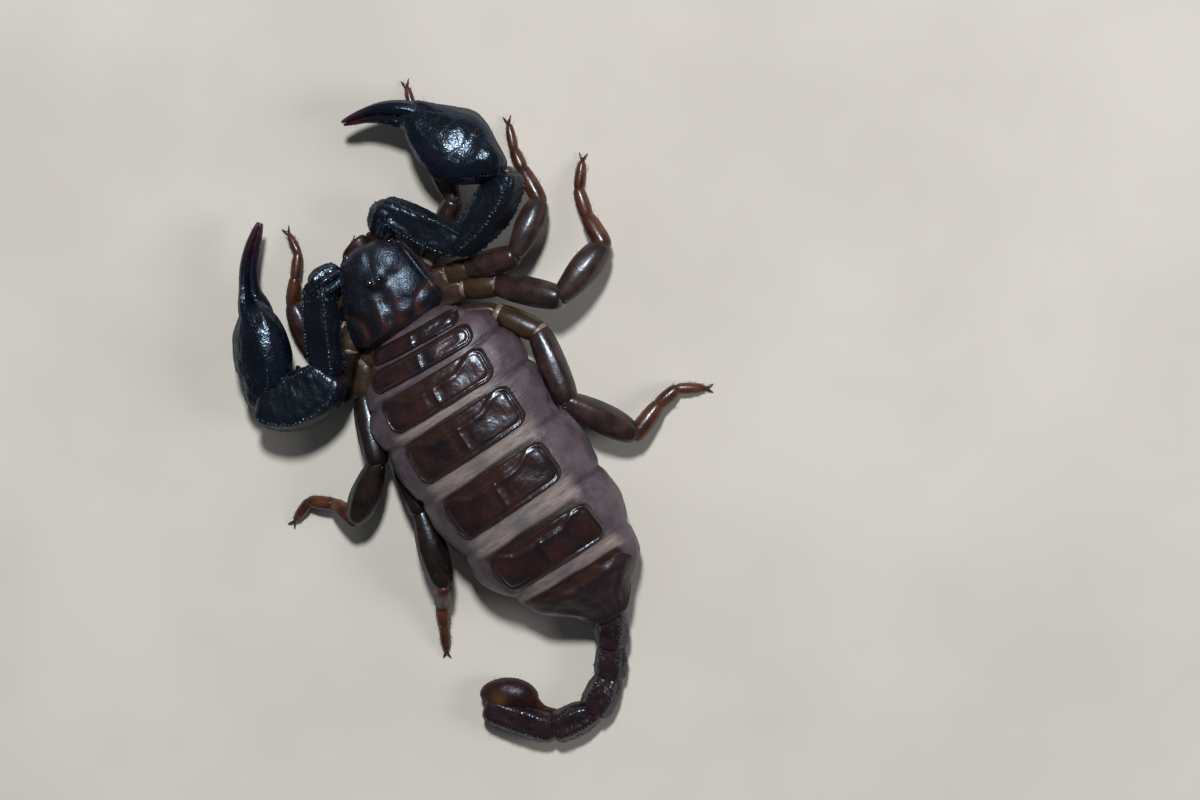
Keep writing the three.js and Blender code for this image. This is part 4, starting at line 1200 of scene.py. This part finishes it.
def make_skin():
    bm = new_mesh("band", "brown", "heart", "low", "crease")
    centre, reach = (TRUNK_FRONT + TRUNK_REAR) / 2, (TRUNK_REAR - TRUNK_FRONT) / 2
    rods = leg_rods()
    near = []
    for vert in new_sphere(bm, *SKIN_MESH):
        y = centre + (reach - 0.02) * (1 - 2 * acos(clamp(vert.co.z, -1)) / pi)
        place = skin_point(y, atan2(vert.co.y, vert.co.x))
        close = [rod for rod in rods if min(rod[0].y, rod[1].y) - 1.2 < y < max(rod[0].y, rod[1].y) + 1.2]
        core = Vector((trunk_section(y)[0], y, TRUNK_WIDEST_LEVEL))
        if close and deepest(close, place) > 0:
            near.append(vert)
            for _ in range(24):
                depth = deepest(close, place)
                if depth <= 0:
                    break
                place = place.lerp(core, min(0.5, max(depth, 0.05) / max((place - core).length, 0.1)))
        # Rises over the leg bases at the front, and lies flat over the belly plates.
        chest = mix(BELLY_LEVEL + 0.03, CHEST_LEVEL + 0.06, 1 - ease(y, CHEST_REAR - 0.75, CHEST_REAR - 0.1))
        place.z = max(place.z, chest)
        vert.co = place
    soften(bm, near, 4)
    paint(bm, band=skin_band, brown=skin_brown, heart=skin_heart, low=skin_low_shade, crease=skin_fold_shade)
    make_piece(bm, "body_skin", [SKIN], "membrane", "mesosoma")


def rounded_grid(bm, plate, corner, columns, rows):
    """A flat sheet with rounded corners, its rows and columns closest at the edges."""
    made = bmesh.ops.create_grid(bm, x_segments=columns, y_segments=rows, size=1.0)
    half_u, half_w = plate.across / 2, plate.along / 2
    corner = min(corner, half_w - 0.02)
    for vert in made["verts"]:
        u, w = ((1.5 * c - 0.5 * c**3) * half for c, half in zip(vert.co.xy, (half_u, half_w)))
        out_u, out_w = abs(u) - (half_u - corner), abs(w) - (half_w - corner)
        if out_u > 0 and out_w > 0:
            pull = max(out_u, out_w) / hypot(out_u, out_w)
            u = copysign(half_u - corner + out_u * pull, u)
            w = copysign(half_w - corner + out_w * pull, w)
        vert.co = Vector((u, w, 0.0))
    return made["verts"]


def edge_distance(plate, corner, u, w):
    corner = min(corner, plate.along / 2 - 0.02)
    out_u, out_w = abs(u) - (plate.across / 2 - corner), abs(w) - (plate.along / 2 - corner)
    return corner - hypot(max(out_u, 0), max(out_w, 0)) - min(max(out_u, out_w), 0)


def thicken(bm, depth):
    """Closes a sheet into a plate with a second sheet that far above it."""
    sheet = bmesh.ops.extrude_face_region(bm, geom=bm.faces[:])
    for part in sheet["geom"]:
        if isinstance(part, bmesh.types.BMVert):
            part.co.z += depth


def tergite_front(half_u, half_w, u):
    """Where a back plate's raised part begins: further forward at its two ends."""
    if half_w < 0.9:
        return -half_w + 0.12
    return -half_w + 0.12 + 0.56 * (1 - ease(abs(u) / half_u, 0.4, 0.78))


def tergite_lift(plate, last, u, w, inside):
    half_u, half_w = plate.across / 2, plate.along / 2
    front = tergite_front(half_u, half_w, u)
    raised = ease(w, front - 0.14, front + 0.2)
    ends = ease(abs(u) / half_u, 0.6, 0.85)
    framed = 0.0 if last else max(ease(w, 0.1 * half_w, 0.6 * half_w), ends) * raised
    lift = mix(0.06 if last else 0.03, 0.1 if last else 0.15, raised) + 0.05 * (1 - (u / half_u) ** 2)
    lift += (0.01 if last else 0.045) * hill(w - front - 0.26, 0.16)
    lift += framed * (0.045 * hill(inside - 0.14, 0.08) - 0.05 * hill(inside - 0.34, 0.1))
    lift -= 0.15 * (1 - ease(inside, 0.0, 1.0)) if last else 0.25 * (1 - ease(inside, 0.0, 0.2))
    ridge = hill(u, 0.1) * ease(w, -0.4 * half_w, 0.1 * half_w) * (1 - ease(w, 0.5 * half_w, 0.9 * half_w))
    lift += 0.08 * ridge + 0.06 * hill(u + 0.05, 0.11) * hill(w + 0.42 * half_w, 0.1)
    out = abs(u)
    lift -= 0.05 * hill(out - 0.45, 0.26) * hill(w - 0.05 * half_w, 0.5 * half_w)
    lift -= 0.09 * hill(out - 0.58 * half_u, 0.2 * half_u) * hill(w + 0.05, 0.45 * half_w) * raised
    lift += 0.06 * hill(out - 0.84 * half_u, 0.12 * half_u) * hill(w + 0.1, 0.6 * half_w) * raised
    lift += (0.09 if last else 0.035) * rough(u, w, 1.2, plate.y)
    return lift + 0.012 * rough(u, w, 3.2, plate.y + 5)


def make_tergite(number, plate):
    last = number == len(TERGITES)
    corner = LAST_TERGITE_CORNER if last else TERGITE_CORNER
    bm = new_mesh("rim", "front", "dull")
    rim, front, dull = (bm.verts.layers.float[tone] for tone in ("rim", "front", "dull"))
    way = level_way(plate.turn)
    half_u, half_w = plate.across / 2, plate.along / 2
    for vert in rounded_grid(bm, plate, corner, *TERGITE_MESH):
        u, w = vert.co.x, vert.co.y
        inside = edge_distance(plate, corner, u, w)
        start = tergite_front(half_u, half_w, u)
        vert[rim] = 0.3 if last else 0.5 * (1 - ease(inside, 0.12, 0.34))
        vert[dull] = 0.5 if last else 0.0
        vert[front] = (1.0 if last else 0.6) * (1 - ease(w, start - 0.1, start + 0.25))
        x = plate.x + u * way.x - w * way.y
        y = plate.y + u * way.y + w * way.x
        if last:
            middle, half, _, _, dome, _ = trunk_section(min(y, TRUNK_REAR - 0.05))
            x = middle + u / half_u * half * dome * LAST_TERGITE_SPREAD
        vert.co = Vector((x, y, trunk_level(x, y, tergite_lift(plate, last, u, w, inside))))
    thicken(bm, -TERGITE_THICKNESS)
    make_piece(bm, f"back_plate_{number}", [PLATE], "plate", f"tergite_{number}")


def make_sternite(number, plate):
    """A belly plate, with the slits of its two lungs."""
    bm = new_mesh("rim")
    rim = bm.verts.layers.float["rim"]
    half_u, half_w = plate.across / 2, plate.along / 2
    for vert in rounded_grid(bm, plate, STERNITE_CORNER, *STERNITE_MESH):
        u, w = vert.co.x, vert.co.y
        inside = edge_distance(plate, STERNITE_CORNER, u, w)
        lift = 0.29 - 0.12 * (1 - ease(inside, 0.0, 0.16)) - 0.05 * hill(inside - 0.3, 0.1)
        vert[rim] = 0.8 * (1 - ease(inside, 0.05, 0.3))
        if number < LAST_STERNITE:
            slit = hypot((abs(u) - 0.58 * half_u) / 0.2, (w - 0.15 * half_w) / 0.11)
            lift += 0.03 * hill(slit - 1.5, 0.4) - 0.14 * (1 - ease(slit, 0.6, 1.1))
            vert[rim] = max(vert[rim], 1 - ease(slit, 0.8, 1.4))
        lift += 0.01 * rough(u, w, 2.0, plate.y)
        level = trunk_level(u, plate.y + w, min(lift, BELLY_LEVEL), below=True)
        vert.co = Vector((u, plate.y + w, level))
    thicken(bm, STERNITE_THICKNESS)
    make_piece(bm, f"belly_plate_{number}", [BELLY], "plate", f"sternite_{number}")


def make_combs():
    """The combs behind the legs: a base plate, two stems and their teeth."""
    x, y, level, half, reach, sweep, teeth = PECTINES.values()
    bm = new_mesh("tip")
    add_form(bm, Form(line((x, y - 0.8, level), (x, y + 0.7, level)), lambda t: (0.8, half)), 36, 26)
    root = Vector((x, y, level))
    for side in (-1, 1):
        way = level_way(sweep) * Vector((side, 1, 1))
        back = Vector((-side * way.y, abs(way.x), 0))
        add_form(bm, Form(line(root, root + way * reach), lambda t: (mix(0.5, 0.34, t), half * 0.95)), 32, 30)
        for k in range(3):
            spine = line(root + way * (0.9 + k) - UP * 0.1, root + way * (1.75 + k) - UP * 0.1)
            add_form(bm, Form(spine, lambda t: (0.3, 0.12), 3), 16, 12)
        for k in range(teeth):
            foot = root + way * reach * mix(0.2, 0.86, k / (teeth - 1))
            spine = line(foot + back * 0.1, foot + back * 0.72)
            tooth = Form(spine, lambda t: (0.17 + 0.03 * sin(pi * t), 0.2))
            add_form(bm, tooth, 16, 14, tip=lambda t, angle: -0.6 * t)
    make_piece(bm, "combs", [CHEST], "foot", "pectines")


make_skin()
for number, plate in enumerate(TERGITES, 1):
    make_tergite(number, plate)
for number, plate in enumerate(STERNITES, FIRST_STERNITE):
    make_sternite(number, plate)
make_combs()


# ---- Tail ----

def tail_relief(i):
    """Two rounded upper keels with a groove between them, and keels along the sides."""
    last = i == len(TAIL_HALVES) - 1
    ridge, groove = (0.06, 0.03) if last else (0.1, 0.07)

    def relief(t, angle):
        lift = 0.06 * grained(t, angle, 2.2, 5, i) - groove * keel(angle, 90, 0.26)
        for height, *pair in ((ridge, 58, 122), (0.03, 14, 166), (0.02, -42, -138)):
            lift += height * sum(keel(angle, degrees, 0.22) for degrees in pair)
        return lift * sin(pi * clamp(t * 1.03)) ** 0.6

    return relief


def tail_form(i):
    def half(t):
        waist = 0.8 + 0.18 * ease(t, 0.05, 0.55) + 0.02 * sin(pi * t)
        if i == len(TAIL_HALVES) - 1:
            waist = 0.86 + 0.14 * sin(pi * min(1.0, 0.18 + t * 0.74))
        return TAIL_HALVES[i] * waist, TAIL_HALVES[i] * waist * TAIL_HEIGHT

    spine = stretched(TAIL_JOINTS[i], TAIL_JOINTS[i + 1], 0.3, 0.12)
    return Form(spine, half, 5, TAIL_SQUARENESS[i], relief=tail_relief(i))


TAIL_FORMS = [tail_form(i) for i in range(len(TAIL_HALVES))]
TELSON_FORM = Form(*lofted(TELSON, depth=(TAIL_HEIGHT, TAIL_HEIGHT)), 3.2)


def make_tail():
    for number, form in enumerate(TAIL_FORMS, 1):
        bm = new_mesh("worn", "bead")
        add_form(bm, form, 96, 64,
                 worn=lambda t, angle: 0.8 * (1 - ease(t, 0.0, 0.14)) + 0.7 * ease(t, 0.9, 1.0))
        for degrees, size in ((58, 0.1), (122, 0.1), (20, 0.06), (160, 0.06)):
            angle = radians(degrees)
            add_bead_row(bm, form, (0.16, angle), (0.88, angle), 0.26, size, 0.04)
        scatter_beads(bm, form, 50, 0.045, (0.12, 0.92), (0.0, pi))
        for degrees in (52, 128):
            add_bead(bm, form.point(0.9, radians(degrees)) - UP * 0.03, 0.1)
        make_piece(bm, f"tail_{number}", [TAIL], "tail", f"metasoma_{number}")
    bm = new_mesh()
    for before, joint, after in zip(TAIL_JOINTS, TAIL_JOINTS[1:], TAIL_JOINTS[2:]):
        add_hinge(bm, joint, (after - before).normalized(), (0.32, 0.3), (0.72, 0.66), 28, 18)
    make_piece(bm, "tail_hinges", [HINGE], "membrane")


def make_sting():
    bm = new_mesh()
    add_form(bm, TELSON_FORM, 72, 72)
    add_form(bm, Form(*lofted(ACULEUS), 7), 32, 48)
    bm = fused(bm, 0.045, 8, "tip", "pale")
    waist, point = (Vector(ACULEUS[k][:3]) for k in (0, -1))
    way = (point - waist).normalized()
    paint(
        bm, tip=lambda place: ease((place - waist).dot(way), 0.1, 0.7),
        pale=lambda place: 0.9 * hill((place - PALE_SPOT).length, 0.5),
    )
    make_piece(bm, "sting_bulb", [STING], "sting", "telson")


make_tail()
make_sting()


# ---- Pedipalps ----

def swelling(sizes, root, belly=0.96):
    def half(t):
        share = mix(root, belly, sin(pi * min(1.0, 0.12 + 0.62 * t)))
        return sizes[0] * share, sizes[1] * share

    return half


def block_relief(t, angle):
    """A flat-sided segment: keels at its four edges and a dished upper face."""
    lift = 0.05 * sum(keel(angle, degrees, 0.14) for degrees in PALP_EDGES)
    lift -= 0.12 * keel(angle, 90, 0.45) * sin(pi * t)
    return lift + 0.09 * grained(t, angle, 1.8, 3) + 0.045 * grained(t, angle, 2.6, 13)


def trochanter_relief(t, angle):
    ridges = 0.09 * cos(8 * angle + 1.2 * sin(3 * t)) * sin(pi * t)
    return ridges + 0.06 * grained(t, angle, 3, 4)


def hand_relief(t, angle):
    lift = 0.09 * grained(t, angle, 1.6, 4.5) + 0.03 * grained(t, angle, 5, 14)
    return lift + 0.03 * (keel(angle, 40, 0.14) + keel(angle, 150, 0.14))


def finger_relief(t, angle):
    return 0.035 * sum(keel(angle, degrees, 0.15) for degrees in (45, 90, 135))


def finger_form(pose, part):
    """One of the two closed fingers: part is 1 for the moving one and -1 for the fixed one."""
    spine, half = lofted(pose["chela"], FINGER_START)
    roll = radians(pose["side"] * pose["fingerRoll"])

    def beside(t):
        ahead = (spine(min(t + 0.01, 1)) - spine(max(t - 0.01, 0))).normalized()
        away = -pose["side"] * ahead.cross(UP).normalized()
        away.rotate(Matrix.Rotation(roll, 3, ahead))
        sunk = ease(t, 0.02, 0.4)
        apart = part * mix(0.3, 0.5, sunk) * half(t)[0] / cos(roll)
        return spine(t) + away * apart - UP * 0.35 * (1 - sunk)

    def finger_half(t):
        breadth = half(t)[0] * mix(0.64, 1.0, ease(t, 0.02, 0.4))
        return 0.53 * breadth, 0.12 + 0.62 * breadth

    return Form(beside, finger_half, 9, roll=-roll * 0.5, relief=finger_relief)


def palp_forms(pose):
    shoulder, elbow, knee, wrist = (pose[key] for key in ("shoulder", "elbow", "knee", "wrist"))
    upper, lower, hand = (radians(pose[key]) for key in ("upperRoll", "lowerRoll", "handRoll"))
    return {
        "trochanter": Form(
            stretched(shoulder, elbow, 0, 0.4), swelling(PALP_TROCHANTER, 0.8), relief=trochanter_relief
        ),
        "femur": Form(
            stretched(elbow, knee, 0.42, 0.3), swelling(PALP_FEMUR, 0.66), 6, 3.2, upper, block_relief
        ),
        "patella": Form(
            bowed(knee, wrist, 0.4, 0.2, pose["lowerBow"]), swelling(pose["lowerHalf"], 0.56), 6, 2.6,
            lower, block_relief,
        ),
        "manus": Form(*lofted(pose["chela"], 0, HAND_END, pose["depth"], hand), 5, 2.15, hand, hand_relief),
        "fixed": finger_form(pose, -1),
        "moving": finger_form(pose, 1),
    }


PALP_FORMS = {name: palp_forms(pose) for name, pose in PEDIPALPS.items()}
PALP_TONES = ("tip", "worn", "matt", "bead")


def worn_ends(t, angle):
    return 0.8 * (1 - ease(t, 0.0, 0.1)) + 0.8 * ease(t, 0.92, 1.0)


def everywhere(t, angle):
    return 1.0


def make_palp(name):
    pose, forms = PEDIPALPS[name], PALP_FORMS[name]

    bm, form = new_mesh(*PALP_TONES), forms["trochanter"]
    add_form(bm, form, 96, 64, worn=worn_ends)
    for k in range(8):
        angle = radians(5 + 24 * k)
        add_bead_row(bm, form, (0.12, angle), (0.9, angle + 0.12), 0.2, 0.08, 0.05)
    scatter_beads(bm, form, 50, 0.06, (0.1, 0.9), (-0.4, 3.5))
    make_piece(bm, f"arm_{name}_base", [ARM], "palp", f"pedipalp_{name}_trochanter")

    bm, form = new_mesh(*PALP_TONES), forms["femur"]
    add_form(bm, form, 128, 90, worn=worn_ends, matt=everywhere)
    for angle in map(radians, PALP_EDGES):
        add_bead_row(bm, form, (0.07, angle), (0.94, angle), 0.25, 0.13, 0.06)
    scatter_beads(bm, form, 90, 0.05, (0.05, 0.95), ALL_ROUND)
    scatter_beads(bm, form, 36, 0.1, (0.05, 0.2), (-0.2, 3.3))
    make_piece(bm, f"arm_{name}_upper", [ARM], "palp", f"pedipalp_{name}_femur")

    bm, form = new_mesh(*PALP_TONES), forms["patella"]
    add_form(bm, form, 128, 96, worn=worn_ends, matt=everywhere)
    for angle in map(radians, PALP_EDGES):
        add_bead_row(bm, form, (0.07, angle), (0.93, angle), 0.26, 0.135, 0.06)
    scatter_beads(bm, form, 90, 0.055, (0.05, 0.95), ALL_ROUND)
    inner = pi if pose["side"] < 0 else 0.0
    spur, out = form.point(0.36, inner), form.outward(0.36, inner)
    spine = line(spur - out * 0.4, spur + out * 0.32)
    add_form(bm, Form(spine, lambda t: (0.42 * (1 - 0.75 * t), 0.36 * (1 - 0.75 * t))), 20, 16)
    make_piece(bm, f"arm_{name}_lower", [ARM], "palp", f"pedipalp_{name}_patella")

    bm = new_mesh()
    add_form(bm, forms["manus"], 112, 100)
    add_form(bm, forms["fixed"], 56, 110)
    bm = fused(bm, 0.06, 3, *PALP_TONES)
    point, wrist = (Vector(pose["chela"][k][:3]) for k in (-1, 0))
    paint(
        bm, tip=lambda place: 1 - ease((place - point).length, 0.2, 2.8),
        worn=lambda place: 0.7 * (1 - ease((place - wrist).length, 0.6, 1.4)),
    )
    for start, end in pose["rows"]:
        add_bead_row(bm, forms["manus"], start, end, 0.2, 0.075, 0.04)
    scatter_beads(bm, forms["manus"], 170, 0.045, (0.05, 0.95), (-0.3, 3.4))
    make_piece(bm, f"hand_{name}", [ARM], "palp", f"pedipalp_{name}_manus")

    bm = new_mesh(*PALP_TONES)
    add_form(bm, forms["moving"], 56, 120, tip=lambda t, angle: ease(t, 0.55, 1.0))
    make_piece(bm, f"finger_{name}", [ARM], "palp", f"pedipalp_{name}_finger")

    bm = new_mesh()
    joints = [Vector(pose[key]) for key in ("shoulder", "elbow", "knee", "wrist")]
    joints.append(Vector(pose["chela"][3][:3]))
    for before, joint, after, size in zip(joints, joints[1:], joints[2:], PALP_HINGES):
        add_hinge(bm, joint, onward(before, joint, after, 0.3), (0.4, 0.4), (size, size))
    make_piece(bm, f"arm_{name}_hinges", [DARK_HINGE], "membrane")


for arm_name in PEDIPALPS:
    make_palp(arm_name)


# ---- Bristles ----

def in_bounds(point):
    """Whether a place lies inside the whole model's box."""
    low, high = (Vector(corner) / MM for corner in CAD_BOUNDS)
    return all(low[i] + HAIR_MARGIN < point[i] < high[i] - HAIR_MARGIN for i in range(3))


def add_hairs(bm, layer, form, count, reach, ts, angles, lean, thick):
    """Stiff bristles that stand on a form and lean along it."""
    for _ in range(count):
        t, angle = dice.uniform(*ts), dice.uniform(*angles)
        root, out = form.point(t, angle), form.outward(t, angle)
        ahead = (form.point(min(t + 0.03, 0.99), angle) - root).normalized()
        sway = Vector([dice.uniform(-1, 1) for _ in range(3)]) * 0.25
        way = (out + ahead * lean + sway).normalized()
        length = reach * dice.uniform(0.6, 1.15)
        if not in_bounds(root + way * length):
            continue
        turn = UP.rotation_difference(way).to_matrix().to_4x4()
        number = len(bm.verts) // BRISTLE_VERTS
        made = bmesh.ops.create_cone(
            bm, cap_ends=True, segments=BRISTLE_VERTS // 2, radius1=thick, radius2=thick * 0.12, depth=length,
            matrix=Matrix.Translation(root + way * (length / 2 - 0.03)) @ turn,
        )
        for vert in made["verts"]:
            vert[layer] = number


def make_hairs():
    """All the bristles, as one piece whose map gives each of them a small patch of its own."""
    bm = new_mesh()
    layer = bm.verts.layers.int.new("number")
    for limbs, coats in ((ALL_LEGS, LEG_HAIRS), (PALP_FORMS, PALP_HAIRS)):
        for forms in limbs.values():
            for part, coat in coats.items():
                add_hairs(bm, layer, forms[part], *coat)
    for form in TAIL_FORMS:
        add_hairs(bm, layer, form, *TAIL_HAIRS)
    add_hairs(bm, layer, TELSON_FORM, *TELSON_HAIRS)
    patches = bm.loops.layers.uv.new("OFBake")
    side = ceil(sqrt(len(bm.verts) / BRISTLE_VERTS))
    for face in bm.faces:
        row, column = divmod(face.verts[0][layer], side)
        middle = Vector((column + 0.5, row + 0.5)) / side
        for corner, loop in enumerate(face.loops):
            turn = tau * corner / len(face.loops)
            loop[patches].uv = middle + Vector((cos(turn), sin(turn))) * HAIR_PATCH
    make_piece(bm, "bristles", [HAIR], "foot")


make_hairs()


# ---- Studio ----

def add_lamp(name, way, size, power, glints):
    light = bpy.data.lights.new(name, "AREA")
    light.shape = "DISK"
    light.size = size
    light.energy = power
    lamp = placed(name, light)
    lamp.visible_glossy = glints
    right, down, back = way
    way = (CAMERA_RIGHT * right + CAMERA_DOWN * down + CAMERA_BACK * back).normalized()
    lamp.location = CAMERA_TARGET + way * LAMP_DISTANCE
    lamp.rotation_euler = (-way).to_track_quat("-Z", "Y").to_euler()


def make_studio():
    bm = new_mesh()
    bmesh.ops.create_grid(bm, x_segments=1, y_segments=1, size=FLOOR_HALF)
    floor = placed("floor", as_mesh(bm, "floor"))
    floor.data.transform(Matrix.Translation((0, 0, -FLOOR_DROP)))
    floor.data.materials.append(FLOOR)

    for name, settings in LAMPS.items():
        add_lamp(name, *settings)
    world = bpy.data.worlds.new("studio")
    world.use_nodes = True
    sky = world.node_tree.nodes["Background"].inputs
    sky["Color"].default_value = WORLD_COLOUR
    sky["Strength"].default_value = WORLD_STRENGTH
    bpy.context.scene.world = world
    bpy.context.scene.view_settings.view_transform = "Standard"

    camera = placed("camera", bpy.data.cameras.new("camera"))
    camera.data.lens = CAMERA_LENS
    camera.data.sensor_width = CAMERA_SENSOR
    camera.data.clip_start = 0.01
    turn = Matrix((CAMERA_RIGHT, -CAMERA_DOWN, CAMERA_BACK)).transposed()
    camera.matrix_world = Matrix.Translation(CAMERA_PLACE) @ turn.to_4x4()
    bpy.context.scene.camera = camera


make_studio()
